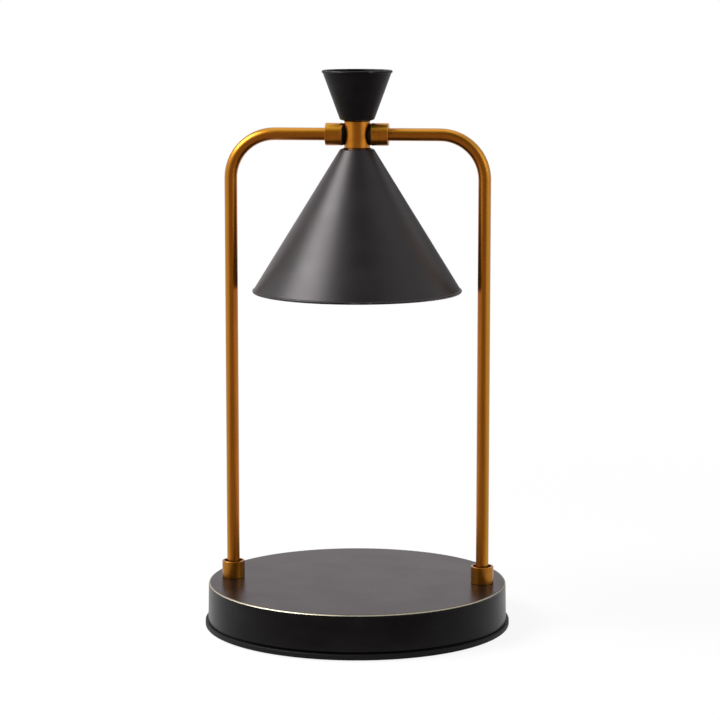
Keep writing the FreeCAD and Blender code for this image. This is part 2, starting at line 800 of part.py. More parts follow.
def pivot_axle():
    """Hollow axle through the hub. Its underside is open in the middle, where the lead turns down into the
    hub, and a groove over its top lets the stop stud swing as far as the shade may tilt."""
    body = new_body("pivot_axle", z="axle_height", rotation=ALONG_BAR)
    sketch = new_sketch(body, "XY_Plane")
    circle(sketch, "axle_radius")
    circle(sketch, AXLE_BORE)
    pad(body, sketch, f"2 * {TUBE_TIP}", both_ways=True)
    window = new_sketch(body, "YZ_Plane", "window_drop")
    beyond = "(axle_radius + cut_margin)"
    box(window, f"-{beyond}", beyond, "-window_length / 2", "window_length / 2")
    pocket(body, window, backwards=True)
    half_width = "(stop_tip_radius + stop_gap)"
    floor = "(axle_radius - stop_groove_depth)"
    groove(
        body,
        [
            (f"-{floor}", f"-{half_width}"),
            (f"-{floor}", half_width),
            (f"-{beyond}", half_width),
            (f"-{beyond}", f"-{half_width}"),
        ],
        f"2 * (tilt_limit * 1 deg + asin({half_width} / {floor}))",
        both_ways=True,
    )
    return body


def friction_washer(side):
    """Black cone washer that fills the hub's seat and rubs in it, so that the shade stays where it is
    put."""
    body = new_body(f"{side_name(side)}_friction_washer", z="axle_height", rotation=across(side))
    revolve(
        body,
        [
            ("axle_radius", WASHER_SEAT),
            ("friction_washer_radius", f"{WASHER_SEAT} + {WASHER_RIM}"),
            ("friction_washer_radius", COLLAR_START),
            ("axle_radius", COLLAR_START),
        ],
    )
    return body


def hub_barrel():
    """Upright barrel bored across for the axle, with a cone seat for each washer, and tapped at both
    ends."""
    body = new_body("hub_barrel", z="axle_height")
    revolve(
        body,
        [
            ("0", "-hub_half_height"),
            ("hub_radius", "-hub_half_height"),
            ("hub_radius", "hub_half_height"),
            ("0", "hub_half_height"),
        ],
    )
    ends = [("hub_radius", "-hub_half_height"), ("hub_radius", "hub_half_height")]
    ease_rings(body, "Chamfer", "hub_edge", ends)
    cross_bore = new_sketch(body, "YZ_Plane")
    circle(cross_bore, "axle_radius + running_gap")
    pocket(body, cross_bore, "2 * (hub_radius + cut_margin)", both_ways=True)
    beyond = "(hub_radius + cut_margin)"
    mouth = f"(axle_radius + ({beyond} - seat_offset) * tan(seat_angle))"
    section = new_sketch(body, "XZ_Plane")
    trace(section, [("seat_offset", "0"), ("seat_offset", "axle_radius"), (beyond, mouth), (beyond, "0")])
    seat = body.newObject("PartDesign::Groove", "hub_seat")
    seat.Profile = section
    seat.ReferenceAxis = (section, ["H_Axis"])
    opposite_pair(body, [seat])
    top_tap = new_sketch(body, "XY_Plane")
    circle(top_tap, "stud_radius")
    pocket(body, top_tap, backwards=True)
    bottom_tap = new_sketch(body, "XY_Plane")
    circle(bottom_tap, "nipple_radius")
    pocket(body, bottom_tap)
    return body


# ---- head --------------------------------------------------------------------------------------------


def flared_cup(label, up, hole, wall, shoulder_radius, shoulder, rim_radius, rim_height):
    """Thin cone with a small flat neck at the hub, a rounded shoulder and a rolled hem, opening upwards (1)
    or downwards (-1)."""
    body = new_body(label, z="axle_height")
    sign = "" if up > 0 else "-"
    hem_centre = f"({rim_radius} - hem_radius)"
    run = f"({hem_centre} - {shoulder_radius})"
    rise = f"({rim_height} - hem_radius - hub_half_height - {shoulder})"
    across_wall = f"({wall} * hypot({run}; {rise}) / {rise})"
    inner_shoulder = f"({shoulder_radius} + {wall} * {run} / {rise} - {across_wall})"

    def corner(radius, height):
        return (radius, f"{sign}({height})")

    revolve(
        body,
        [
            corner(hole, "hub_half_height"),
            corner("neck_radius", "hub_half_height"),
            corner(shoulder_radius, f"hub_half_height + {shoulder}"),
            corner(f"{hem_centre} + {across_wall} / 2", f"{rim_height} - hem_radius"),
            corner(f"{hem_centre} - {across_wall} / 2", f"{rim_height} - hem_radius"),
            corner(inner_shoulder, f"hub_half_height + {shoulder} + {wall}"),
            corner(f"neck_radius - {wall} / 2", f"hub_half_height + {wall}"),
            corner(hole, f"hub_half_height + {wall}"),
        ],
    )
    shoulder_ring = corner(shoulder_radius, f"hub_half_height + {shoulder}")
    ease_rings(body, "Fillet", "shoulder_rounding", [shoulder_ring])
    hem = new_sketch(body, "XZ_Plane")
    circle(hem, "hem_radius", hem_centre, f"{sign}({rim_height} - hem_radius)")
    bead = body.newObject("PartDesign::Revolution", f"{label}_hem")
    bead.Profile = hem
    bead.ReferenceAxis = (hem, ["V_Axis"])
    return body


def shade():
    hole = "nipple_radius + nipple_gap"
    shoulder = ("shade_shoulder_radius", "shade_shoulder")
    rim = ("shade_rim_radius", "shade_rim_drop")
    return flared_cup("shade", -1, hole, "shade_wall", *shoulder, *rim)


def finial_cone():
    hole = "stud_radius + nipple_gap"
    shoulder = ("finial_shoulder_radius", "finial_shoulder")
    rim = ("finial_rim_radius", "finial_rim_rise")
    return flared_cup("finial_cone", 1, hole, "finial_wall", *shoulder, *rim)


def stop_stud():
    """Stud tapped down into the hub: its slim tip rides in the axle's groove, its top end holds the
    finial."""
    body = new_body("stop_stud", z="axle_height")
    tip = "(axle_radius - stop_groove_depth + stop_gap)"
    neck = "(axle_radius + running_gap + stop_gap)"
    top = "(hub_half_height + finial_wall + stud_washer + stud_nut + stud_tail)"
    revolve(
        body,
        [
            ("0", tip),
            ("stop_tip_radius", tip),
            ("stop_tip_radius", neck),
            ("stud_radius", f"{neck} + stud_radius - stop_tip_radius"),
            ("stud_radius", top),
            ("0", top),
        ],
    )
    return body


def finial_washer():
    foot = "hub_half_height + finial_wall"
    radii = ("stud_radius", "stud_washer_radius")
    return ring("finial_washer", *radii, foot, "stud_washer", z="axle_height")


def finial_nut():
    body = new_body("finial_nut", z="axle_height")
    foot = "hub_half_height + finial_wall + stud_washer"
    hex_nut(body, "stud_radius", "stud_nut_width", foot, "stud_nut")
    return body


def shade_nipple():
    """Hollow threaded tube that hangs the shade and the holder's strap from the hub and passes the lead."""
    top = "(-hub_half_height + nipple_bite)"
    radii = ("nipple_radius - nipple_wall", "nipple_radius")
    return ring("shade_nipple", *radii, NIPPLE_FOOT, f"{top} - {NIPPLE_FOOT}", z="axle_height")


def shade_lock_washer():
    radii = ("nipple_radius", "lock_washer_radius")
    return ring("shade_lock_washer", *radii, UPPER_NUT_TOP, "lock_washer", z="axle_height")


def nipple_nuts():
    """Two nuts with flats towards the strap's walls, one above the strap's web and one below it."""
    body = new_body("nipple_nuts", z="axle_height", rotation=QUARTER_TURN)
    for top in (UPPER_NUT_TOP, LOWER_NUT_TOP):
        hex_nut(body, "nipple_radius", "nipple_nut_width", f"{top} - nipple_nut", "nipple_nut")
    return body


def holder_strap():
    """Strip bent to a hat: its web hangs on the nipple and its two feet carry the lamp holder."""
    body = new_body("holder_strap", z="axle_height")
    outer, inner = "strap_half_span", "(strap_half_span - strap_thickness)"
    foot_top = f"({HOLDER_TOP} + strap_thickness)"
    around = "(strap_bend + strap_thickness)"
    right_half = [
        (f"({inner} - strap_bend)", LOWER_NUT_TOP),
        (inner, f"{LOWER_NUT_TOP} - strap_bend", "strap_bend", -1),
        (inner, f"{HOLDER_TOP} + {around}"),
        (f"({inner} + {around})", HOLDER_TOP, around, 1),
        ("strap_reach", HOLDER_TOP),
        ("strap_reach", foot_top),
        (f"({outer} + strap_bend)", foot_top),
        (outer, f"{foot_top} + strap_bend", "strap_bend", -1),
        (outer, f"{STRAP_TOP} - {around}"),
        (f"({outer} - {around})", STRAP_TOP, around, 1),
    ]
    sketch = new_sketch(body, "XZ_Plane")
    trace(sketch, right_half + mirrored(right_half))
    pad(body, sketch, "strap_width", both_ways=True)
    centre_hole = new_sketch(body, "XY_Plane", STRAP_TOP)
    circle(centre_hole, "nipple_radius")
    pocket(body, centre_hole)
    screw_holes = new_sketch(body, "XY_Plane", foot_top)
    for x in ("-holder_screw_offset", "holder_screw_offset"):
        circle(screw_holes, "holder_screw_radius", x)
    pocket(body, screw_holes)
    return body


def holder_screws():
    body = new_body("holder_screws", z="axle_height")
    head_foot = f"({HOLDER_TOP} + strap_thickness)"
    for radius, foot, height in (
        ("holder_screw_head_radius", head_foot, "holder_screw_head"),
        ("holder_screw_radius", f"{head_foot} - holder_screw_length", "holder_screw_length"),
    ):
        sketch = new_sketch(body, "XY_Plane", foot)
        for x in ("-holder_screw_offset", "holder_screw_offset"):
            circle(sketch, radius, x)
        pad(body, sketch, height)
    return body


def holder_cap():
    """Ceramic lid over the contacts, with the lead's hole and two screw holes."""
    body = new_body("holder_cap", z="axle_height")
    sketch = new_sketch(body, "XY_Plane", HOLDER_BODY_TOP)
    circle(sketch, "holder_radius")
    circle(sketch, "head_lead_radius + lead_hole_gap")
    for x in ("-holder_screw_offset", "holder_screw_offset"):
        circle(sketch, "holder_screw_radius", x)
    pad(body, sketch, "holder_cap")
    return body


def lamp_holder():
    """Ceramic twist-lock holder. Each pin enters at the wide end of a keyhole, and the twist carries its
    neck along the narrow slot, so that its head is caught behind the face."""
    body = new_body("lamp_holder", z="axle_height")
    nose_top = f"({HOLDER_FACE} + holder_nose)"
    revolve(
        body,
        [
            ("chamber_radius", HOLDER_BODY_TOP),
            ("chamber_radius", CHAMBER_FLOOR),
            ("0", CHAMBER_FLOOR),
            ("0", HOLDER_FACE),
            ("holder_nose_radius", HOLDER_FACE),
            ("holder_nose_radius", nose_top),
            ("holder_radius", nose_top),
            ("holder_radius", HOLDER_BODY_TOP),
        ],
    )
    screw_holes = new_sketch(body, "XY_Plane", HOLDER_BODY_TOP)
    for x in ("-holder_screw_offset", "holder_screw_offset"):
        circle(screw_holes, "holder_screw_radius", x)
    pocket(body, screw_holes, "holder_screw_length - strap_thickness - holder_cap")
    seat = new_sketch(body, "XY_Plane", CHAMBER_FLOOR)
    circle(seat, "pin_radius + slot_gap", "pin_circle_radius")
    entry = new_sketch(body, "XY_Plane", CHAMBER_FLOOR)
    entry_centre = ("pin_circle_radius * cos(twist_angle)", "-pin_circle_radius * sin(twist_angle)")
    circle(entry, "pin_head_radius + slot_gap", *entry_centre)
    slot = groove(
        body,
        [
            ("pin_circle_radius - pin_radius - slot_gap", HOLDER_FACE),
            ("pin_circle_radius + pin_radius + slot_gap", HOLDER_FACE),
            ("pin_circle_radius + pin_radius + slot_gap", CHAMBER_FLOOR),
            ("pin_circle_radius - pin_radius - slot_gap", CHAMBER_FLOOR),
        ],
        "twist_angle",
    )
    slot.Reversed = True
    opposite_pair(body, [pocket(body, seat), pocket(body, entry), slot])
    return body


def holder_contacts():
    """Two bronze springs over the pins' heads; each is wide enough to meet its pin all through the twist."""
    body = new_body("holder_contacts", z="axle_height")
    blade = f"({PIN_TOP} + contact_gap)"
    inner = "(pin_circle_radius - contact_width / 2)"
    riser = "(chamber_radius - contact_gap)"
    sweep = revolve(
        body,
        [
            (inner, blade),
            (riser, blade),
            (riser, HOLDER_BODY_TOP),
            (f"{riser} - contact_thickness", HOLDER_BODY_TOP),
            (f"{riser} - contact_thickness", f"{blade} + contact_thickness"),
            (inner, f"{blade} + contact_thickness"),
        ],
        "contact_sweep",
        both_ways=True,
    )
    opposite_pair(body, [sweep])
    return body


def head_lead():
    """Short lead from the hub down the nipple into the holder."""
    body = new_body("head_lead", z="axle_height")
    sketch = new_sketch(body, "XY_Plane", HOLDER_BODY_TOP)
    circle(sketch, "head_lead_radius")
    pad(body, sketch, f"-hub_half_height + nipple_bite - {HOLDER_BODY_TOP}")
    return body


# ---- lamp --------------------------------------------------------------------------------------------


def lamp_base():
    body = new_body("lamp_base", z="axle_height")
    foot = f"({LAMP_TOP} - lamp_base)"
    revolve(body, [("0", foot), ("lamp_base_radius", foot), ("lamp_base_radius", LAMP_TOP), ("0", LAMP_TOP)])
    ease_rings(body, "Chamfer", "lamp_glass", [("lamp_base_radius", LAMP_TOP)])
    pins = new_sketch(body, "XY_Plane", LAMP_TOP)
    for x in ("-pin_circle_radius", "pin_circle_radius"):
        circle(pins, "pin_radius", x)
    pocket(body, pins, "pin_root")
    return body


def lamp_pins():
    body = new_body("lamp_pins", z="axle_height")
    for radius, foot, top in (
        ("pin_radius", f"({LAMP_TOP} - pin_root)", f"({PIN_TOP} - pin_head)"),
        ("pin_head_radius", f"({PIN_TOP} - pin_head)", PIN_TOP),
    ):
        sketch = new_sketch(body, "XY_Plane", foot)
        for x in ("-pin_circle_radius", "pin_circle_radius"):
            circle(sketch, radius, x)
        pad(body, sketch, f"{top} - {foot}")
    return body


def lamp_reflector():
    """Pressed glass bowl that widens from the base to the lens."""
    body = new_body("lamp_reflector", z="axle_height")
    neck = f"({LAMP_TOP} - lamp_base)"
    rim_top = f"({LAMP_FACE} + lamp_rim)"
    inner_neck, inner_rim = "(lamp_base_radius - lamp_glass)", "(lamp_radius - lamp_glass)"
    revolve(
        body,
        [
            (inner_neck, neck, "lamp_bowl_radius", 1),
            ("lamp_base_radius", neck),
            ("lamp_radius", rim_top, "lamp_bowl_radius", -1),
            ("lamp_radius", LAMP_FACE),
            (inner_rim, LAMP_FACE),
            (inner_rim, rim_top),
        ],
    )
    return body


def lamp_lens():
    body = new_body("lamp_lens", z="axle_height")
    sketch = new_sketch(body, "XY_Plane", LAMP_FACE)
    circle(sketch, "lamp_radius - lamp_glass")
    pad(body, sketch, "lens_thickness")
    return body


def lamp_capsule():
    """Halogen capsule: a domed quartz tube above a flat pinch that the base grips."""
    body = new_body("lamp_capsule", z="axle_height")
    base_foot = f"({LAMP_TOP} - lamp_base)"
    tube_top = f"({base_foot} - pinch_length)"
    dome = f"({tube_top} - capsule_length + capsule_radius)"
    pinch = new_sketch(body, "XY_Plane", tube_top)
    box(pinch, "-pinch_width / 2", "pinch_width / 2", "-pinch_thickness / 2", "pinch_thickness / 2")
    pad(body, pinch, "pinch_length")
    revolve(
        body,
        [
            ("0", tube_top),
            ("0", f"{dome} - capsule_radius"),
            ("capsule_radius", dome, "capsule_radius", 1),
            ("capsule_radius", tube_top),
        ],
    )
    return body


# ---- build, check, write -----------------------------------------------------------------------------


def build():
    bodies = [
        bottom_cover(),
        foot_pads(),
        base_shell(),
        ballast_disc(),
        cover_screws(),
        cord_inlet_bush(),
        terminal_block(),
        terminal_clamps(),
        terminal_screws(),
        arm_lead(),
        grub_screws(),
        pivot_axle(),
        hub_barrel(),
        shade(),
        finial_cone(),
        stop_stud(),
        finial_washer(),
        finial_nut(),
        shade_nipple(),
        shade_lock_washer(),
        nipple_nuts(),
        holder_strap(),
        holder_screws(),
        holder_cap(),
        lamp_holder(),
        holder_contacts(),
        head_lead(),
        lamp_base(),
        lamp_pins(),
        lamp_reflector(),
        lamp_lens(),
        lamp_capsule(),
    ]
    for side in (LEFT, RIGHT):
        for make in (arm_tube, foot_collar, foot_washer, foot_nut, pivot_collar, friction_washer):
            bodies.append(make(side))
    return bodies


def check(bodies):
    for item in doc.Objects:
        if {"Invalid", "Error"} & set(item.State):
            raise RuntimeError(f"{item.Label} failed: {item.State}")
        if item.TypeId in ("PartDesign::Pocket", "PartDesign::Groove"):
            if item.Shape.Volume > item.BaseFeature.Shape.Volume - 1e-6:
                raise RuntimeError(f"{item.Label} cuts nothing")
    for body in bodies:
        if body.Shape.isNull() or not body.Shape.isValid() or not body.Shape.Solids:
            raise RuntimeError(f"{body.Label} has no sound shape")


def write(bodies):
    os.makedirs("parts", exist_ok=True)
    for body in bodies:
        body.Shape.exportStep(f"parts/{body.Label}.step")


lamp_bodies = build()
doc.recompute()
check(lamp_bodies)
write(lamp_bodies)
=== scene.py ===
import math

import bmesh
import bpy
from mathutils import Matrix, Vector


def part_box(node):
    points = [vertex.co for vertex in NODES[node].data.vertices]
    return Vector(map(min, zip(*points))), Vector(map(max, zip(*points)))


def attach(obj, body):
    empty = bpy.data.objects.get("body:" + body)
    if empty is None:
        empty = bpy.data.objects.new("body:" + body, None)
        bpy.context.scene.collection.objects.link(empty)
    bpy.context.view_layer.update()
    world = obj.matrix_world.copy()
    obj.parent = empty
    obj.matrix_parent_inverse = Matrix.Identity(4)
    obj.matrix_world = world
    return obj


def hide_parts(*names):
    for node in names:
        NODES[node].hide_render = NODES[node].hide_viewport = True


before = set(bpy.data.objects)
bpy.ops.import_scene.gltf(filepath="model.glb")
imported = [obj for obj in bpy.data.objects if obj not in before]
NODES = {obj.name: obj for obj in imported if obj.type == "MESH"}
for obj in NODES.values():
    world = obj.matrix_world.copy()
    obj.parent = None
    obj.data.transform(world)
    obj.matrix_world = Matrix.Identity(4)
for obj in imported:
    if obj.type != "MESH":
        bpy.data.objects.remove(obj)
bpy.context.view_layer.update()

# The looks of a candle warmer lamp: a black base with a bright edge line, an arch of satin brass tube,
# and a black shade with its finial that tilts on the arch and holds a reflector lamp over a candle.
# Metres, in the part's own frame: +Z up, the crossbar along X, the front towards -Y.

MM = 0.001
FULL_TURN = 2 * math.pi
ORIGIN = (0, 0, 0)
UP = Vector((0, 0, 1))
OBJECT_MIDDLE = Vector((0, 0, 0.16))


def middle(node):
    low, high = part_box(node)
    return (low + high) / 2


# Heights and sizes of the solids, taken from the frame.
AXLE_HEIGHT = middle("pivot_axle").z
ARM_OFFSET = middle("right_foot_collar").x
BASE_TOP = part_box("base_shell")[1].z
BASE_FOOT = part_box("base_shell")[0].z
BASE_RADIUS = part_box("base_shell")[1].x
SHADE_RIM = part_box("shade")[0].z
SHADE_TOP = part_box("shade")[1].z
FINIAL_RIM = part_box("finial_cone")[1].z
FINIAL_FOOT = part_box("finial_cone")[0].z
# Radius of the arch's bends, at the middle of the tube.
BEND_RADIUS = 24.5 * MM
# The bright line lies between these heights on the base's rounded upper edge.
EDGE_LINE_FOOT = BASE_TOP - 0.62 * MM
EDGE_LINE_TOP = BASE_TOP - 0.16 * MM

# A corner this close to a cutting plane lies on it, and corners this close to each other are one.
CUT_TOLERANCE = 0.0001 * MM
SAME_CORNER = 0.001 * MM
# Depth of a screw's thread, as a share of its pitch.
THREAD_DEPTH = 0.55

# Colours, as linear light.
PAINT_BLACK = (0.0036, 0.0032, 0.0034, 1)
PAINT_DUSTY = (0.0068, 0.0062, 0.0064, 1)
PAINT_WORN = (0.060, 0.056, 0.052, 1)
EDGE_METAL = (0.45, 0.418, 0.345, 1)
EDGE_RUBBED = (0.29, 0.268, 0.180, 1)
# Painted shade: the near black of the joint between the base and its flange.
JOINT_PAINTED_SHADE = (0.001, 0.001, 0.001, 1)
PAINT_SHEEN = (1, 0.93, 0.945, 1)
# Each brass has a bright and an aged tone, and some have a third, brighter and yellower one painted on the
# side where the light falls: a painted highlight.
TURNED_BRASS = ((0.465, 0.168, 0.008, 1), (0.38, 0.108, 0.0035, 1))
TURNED_PAINTED_HIGHLIGHT = (0.54, 0.240, 0.012, 1)
FERRULE_BRASS = ((0.35, 0.134, 0.007, 1), (0.26, 0.084, 0.003, 1))
TUBE_BRASS = ((0.405, 0.128, 0.005, 1), (0.32, 0.096, 0.003, 1))
TUBE_PAINTED_HIGHLIGHT = (0.41, 0.172, 0.009, 1)
BRASS_SPOT = (0.20, 0.07, 0.009, 1)
PLASTIC_BLACK = (0.0045, 0.0042, 0.0043, 1)
PLASTIC_SCUFFED = (0.012, 0.0115, 0.0115, 1)
FIBRE_BLACK = (0.0030, 0.0026, 0.0025, 1)
FIBRE_LOOSE = (0.0075, 0.0064, 0.0060, 1)
RUBBER_DARK = (0.016, 0.016, 0.016, 1)
RUBBER_DUSTY = (0.045, 0.044, 0.042, 1)
IRON_DARK = (0.050, 0.048, 0.046, 1)
IRON_LIGHT = (0.140, 0.135, 0.128, 1)
ZINC_BRIGHT = (0.62, 0.62, 0.60, 1)
ZINC_DULL = (0.40, 0.41, 0.42, 1)
IVORY = (0.76, 0.73, 0.66, 1)
IVORY_SHADED = (0.66, 0.62, 0.54, 1)
YELLOW_BRASS = (0.74, 0.50, 0.20, 1)
YELLOW_BRASS_DULL = (0.55, 0.35, 0.13, 1)
SLEEVE_WHITE = (0.66, 0.63, 0.57, 1)
SLEEVE_GAP = (0.34, 0.31, 0.26, 1)
CERAMIC_WHITE = (0.78, 0.75, 0.69, 1)
CERAMIC_TINGED = (0.68, 0.63, 0.55, 1)
CERAMIC_PORE = (0.42, 0.37, 0.30, 1)
NICKEL_BRIGHT = (0.72, 0.69, 0.64, 1)
NICKEL_DULL = (0.50, 0.48, 0.44, 1)
TUNGSTEN = (0.34, 0.33, 0.33, 1)
MIRROR_COAT = (0.86, 0.86, 0.90, 1)
MIRROR_TINGED = (0.74, 0.78, 0.88, 1)
COATED_GLASS_BLUE = (0.30, 0.32, 0.40, 1)
COATED_GLASS_PALE = (0.46, 0.44, 0.46, 1)
CLEAR_GLASS = (1, 1, 1, 1)
GLASS_FILM = (0.93, 0.95, 0.96, 1)
WHITE = (1, 1, 1, 1)
PALE_FLOOR = (0.9, 0.9, 0.9, 1)
ROOM_LIGHT = (0.30, 0.30, 0.30, 1)
CARD_BLACK = (0.10, 0.085, 0.08, 1)
CARD_GREY = (0.25, 0.25, 0.25, 1)
CARD_BROWN = (0.38, 0.325, 0.305, 1)
CARD_PALE_BROWN = (0.44, 0.39, 0.37, 1)
CARD_ROSE_WHITE = (1.075, 0.99, 1.015, 1)


# ---- shader values -----------------------------------------------------------------------------------


class Value:
    """One output of a shader node. Sums and products of values add their own Math nodes."""

    def __init__(self, nodes, socket):
        self.nodes = nodes
        self.socket = socket

    def __add__(self, other):
        return self.nodes.calculate("ADD", self, other)

    def __sub__(self, other):
        return self.nodes.calculate("SUBTRACT", self, other)

    def __rsub__(self, other):
        return self.nodes.calculate("SUBTRACT", other, self)

    def __mul__(self, other):
        return self.nodes.calculate("MULTIPLY", self, other)

    __radd__ = __add__
    __rmul__ = __mul__


class Nodes:
    """The shader nodes of one material, or of the world."""

    def __init__(self, owner):
        owner.use_nodes = True
        self.tree = owner.node_tree
        self.tree.nodes.clear()

    def node(self, kind, settings=None, inputs=None, output=0):
        made = self.tree.nodes.new(f"ShaderNode{kind}")
        for name, setting in (settings or {}).items():
            setattr(made, name, setting)
        for name, value in (inputs or {}).items():
            if isinstance(value, Value):
                self.tree.links.new(value.socket, made.inputs[name])
            else:
                made.inputs[name].default_value = value
        return Value(self, made.outputs[output]) if made.outputs else None

    def calculate(self, operation, *terms):
        return self.node("Math", {"operation": operation}, dict(enumerate(terms)))

    def vector(self, operation, *terms, output=0):
        return self.node("VectorMath", {"operation": operation}, dict(enumerate(terms)), output)

    def place(self):
        return self.node("TexCoord", output="Object")

    def along(self, axis):
        return self.node("SeparateXYZ", inputs={0: self.place()}, output=axis)

    def from_axis(self, centre=ORIGIN):
        """Distance from an upright line through centre."""
        beside = self.vector("SUBTRACT", self.place(), centre)
        flat = self.vector("MULTIPLY", beside, (1, 1, 0))
        return self.vector("LENGTH", flat, output="Value")

    def fade(self, value, start, end):
        """0 up to start and 1 from end on, with a soft step between them."""
        limits = {"Value": value, "From Min": start, "From Max": end}
        return self.node("MapRange", {"interpolation_type": "SMOOTHSTEP"}, limits)

    def band(self, value, low, high, soft):
        """1 between low and high and 0 outside them."""
        return self.fade(value, low - soft, low) * self.fade(value, high + soft, high)

    def clouds(self, size, detail=2, at=None):
        """Soft random pattern from 0 to 1. Its blotches have that size, or three sizes along x, y and z."""
        sizes = size if isinstance(size, tuple) else (size, size, size)
        spread = {"Vector": at or self.place(), "Scale": sizes}
        placed = self.node("Mapping", {"vector_type": "TEXTURE"}, spread)
        return self.node("TexNoise", inputs={"Vector": placed, "Scale": 1, "Detail": detail})

    def speckles(self, size, spread, amount):
        """1 in scattered spots: the higher amount is, the fewer they are."""
        pattern = self.clouds(size, 3) * self.clouds(spread, 1)
        return self.fade(pattern, amount, amount + 0.05)

    def tint(self, mask, first, second):
        blend = {"data_type": "RGBA"}
        return self.node("Mix", blend, {"Factor": mask, 6: first, 7: second}, output=2)

    def relief(self, height, depth, below=None):
        """A bump whose height runs over depth metres, laid over the bump below it."""
        inputs = {"Height": height, "Distance": depth, "Strength": 1}
        if below:
            inputs["Normal"] = below
        return self.node("Bump", inputs=inputs)

    def surface(self, **sockets):
        """The finish itself. base_color stands for Base Color, and so on."""
        named = {name.replace("_", " ").title().replace("Ior", "IOR"): v for name, v in sockets.items()}
        self.node("OutputMaterial", inputs={"Surface": self.node("BsdfPrincipled", inputs=named)})


def material(name):
    made = bpy.data.materials.new(name)
    return made, Nodes(made)


# ---- finishes ----------------------------------------------------------------------------------------


def black_paint(name, gloss, roughness, worn_heights=(), bright_line=False):
    """Satin black paint on pressed metal: fine orange peel, faint smears, and thin wear along the
    turned edges at worn_heights. bright_line gives the base's upper edge its bare line, and paints the
    joint with the flange near black as painted shade, which is metal in the shader so that no gloss lies on
    it."""
    made, n = material(name)
    peel = n.clouds(0.9 * MM, 1)
    grit = n.clouds(0.22 * MM, 1)
    smears = n.clouds((26 * MM, 26 * MM, 14 * MM), 3)
    height = n.along("Z")
    wear = 0
    for edge in worn_heights:
        wear = n.band(height, edge - 0.25 * MM, edge + 0.25 * MM, 0.35 * MM) + wear
    chipped = wear * n.fade(n.clouds(5 * MM, 4), 0.48, 0.66)
    colour = n.tint(n.fade(smears, 0.35, 0.75), PAINT_BLACK, PAINT_DUSTY)
    colour = n.tint(chipped, colour, PAINT_WORN)
    roughness = roughness + smears * 0.12 + chipped * 0.15
    metal = 0
    if bright_line:
        # Painted shade: the joint over the flange is painted near black, standing in for the shadow in its
        # gap.
        joint = n.band(height, BASE_FOOT - MM, BASE_FOOT + 0.55 * MM, 0.25 * MM)
        colour = n.tint(joint, colour, JOINT_PAINTED_SHADE)
        rounded = n.fade(n.from_axis(), BASE_RADIUS - 3 * MM, BASE_RADIUS - 2.8 * MM)
        line = rounded * n.band(height, EDGE_LINE_FOOT, EDGE_LINE_TOP, 0.08 * MM)
        rubbed = n.clouds((9 * MM, 9 * MM, 0.2 * MM), 3)
        colour = n.tint(line, colour, n.tint(rubbed, EDGE_METAL, EDGE_RUBBED))
        roughness = n.node("Mix", inputs={"Factor": line, 2: roughness, 3: 0.36 + rubbed * 0.15})
        metal = line + joint
    skin = n.relief(grit, 0.001 * MM, n.relief(peel, 0.004 * MM))
    sheen = {"specular_ior_level": gloss, "specular_tint": PAINT_SHEEN}
    n.surface(base_color=colour, roughness=roughness, metallic=metal, normal=skin, **sheen)
    return made


def brass(name, tones, streaks, patches, highlight_tone=None):
    """Brushed and lacquered brass. streaks are the size of the brushing's lines and patches that of the
    slow change of its tone. The side above the crossbar's axis, where the light falls, takes the
    highlight tone if there is one: a painted highlight."""
    made, n = material(name)
    lines = n.clouds(streaks, 3)
    tarnish = n.clouds(patches, 2)
    # Painted highlight: the upper side, where the light falls, is tinted brighter and yellower.
    lit_upper_side = n.fade(n.along("Z"), AXLE_HEIGHT + MM, AXLE_HEIGHT + 4 * MM) if highlight_tone else None
    return finish_brass(made, n, tones, lines, tarnish, lit_upper_side, highlight_tone)


def finish_brass(made, n, tones, lines, tarnish, highlight_side, highlight_tone):
    """Lays the lacquered finish from the brushing's lines, the slow tarnish and the painted highlight on
    the lit side.
    """
    bright_tone, aged_tone = tones
    aged = n.fade(tarnish, 0.35, 0.7) * 0.6 + n.fade(lines, 0.5, 0.75) * 0.3
    spots = n.speckles(0.8 * MM, 7 * MM, 0.42)
    colour = n.tint(aged, bright_tone, aged_tone)
    # The lit side takes the painted highlight tone.
    if highlight_side:
        colour = n.tint(highlight_side, colour, highlight_tone)
    colour = n.tint(spots * 0.5, colour, BRASS_SPOT)
    roughness = 0.27 + lines * 0.10 + spots * 0.12
    grooves = n.relief(lines, 0.0015 * MM)
    lacquer = {"coat_weight": 0.25, "coat_roughness": 0.22}
    n.surface(base_color=colour, roughness=roughness, metallic=1, normal=grooves, **lacquer)
    return made


def tube_brass():
    """Brass brushed along the bent tube: the lines follow its legs, its bends and the crossbar. The
    arch's outer side, where the light falls, is painted a yellower tone: a painted highlight."""
    made, n = material("brass_tube")
    aside = n.calculate("ABSOLUTE", n.along("X"))
    height = n.along("Z")
    past_bend = n.calculate("MAXIMUM", aside - (ARM_OFFSET - BEND_RADIUS), 0)
    above_bend = n.calculate("MAXIMUM", height - (AXLE_HEIGHT - BEND_RADIUS), 0)
    reach = n.calculate("SQRT", past_bend * past_bend + above_bend * above_bend)
    outward = reach - BEND_RADIUS
    section = n.node("CombineXYZ", inputs={"X": outward, "Y": n.along("Y"), "Z": aside - height})
    lines = n.clouds((0.28 * MM, 0.28 * MM, 30 * MM), 3, section)
    tarnish = n.clouds((3 * MM, 3 * MM, 34 * MM), 2, section)
    # Painted highlight on the arch's outer side, where the light falls.
    lit_outer_side = n.fade(outward, 0.2 * MM, 2.6 * MM)
    return finish_brass(made, n, TUBE_BRASS, lines, tarnish, lit_outer_side, TUBE_PAINTED_HIGHLIGHT)


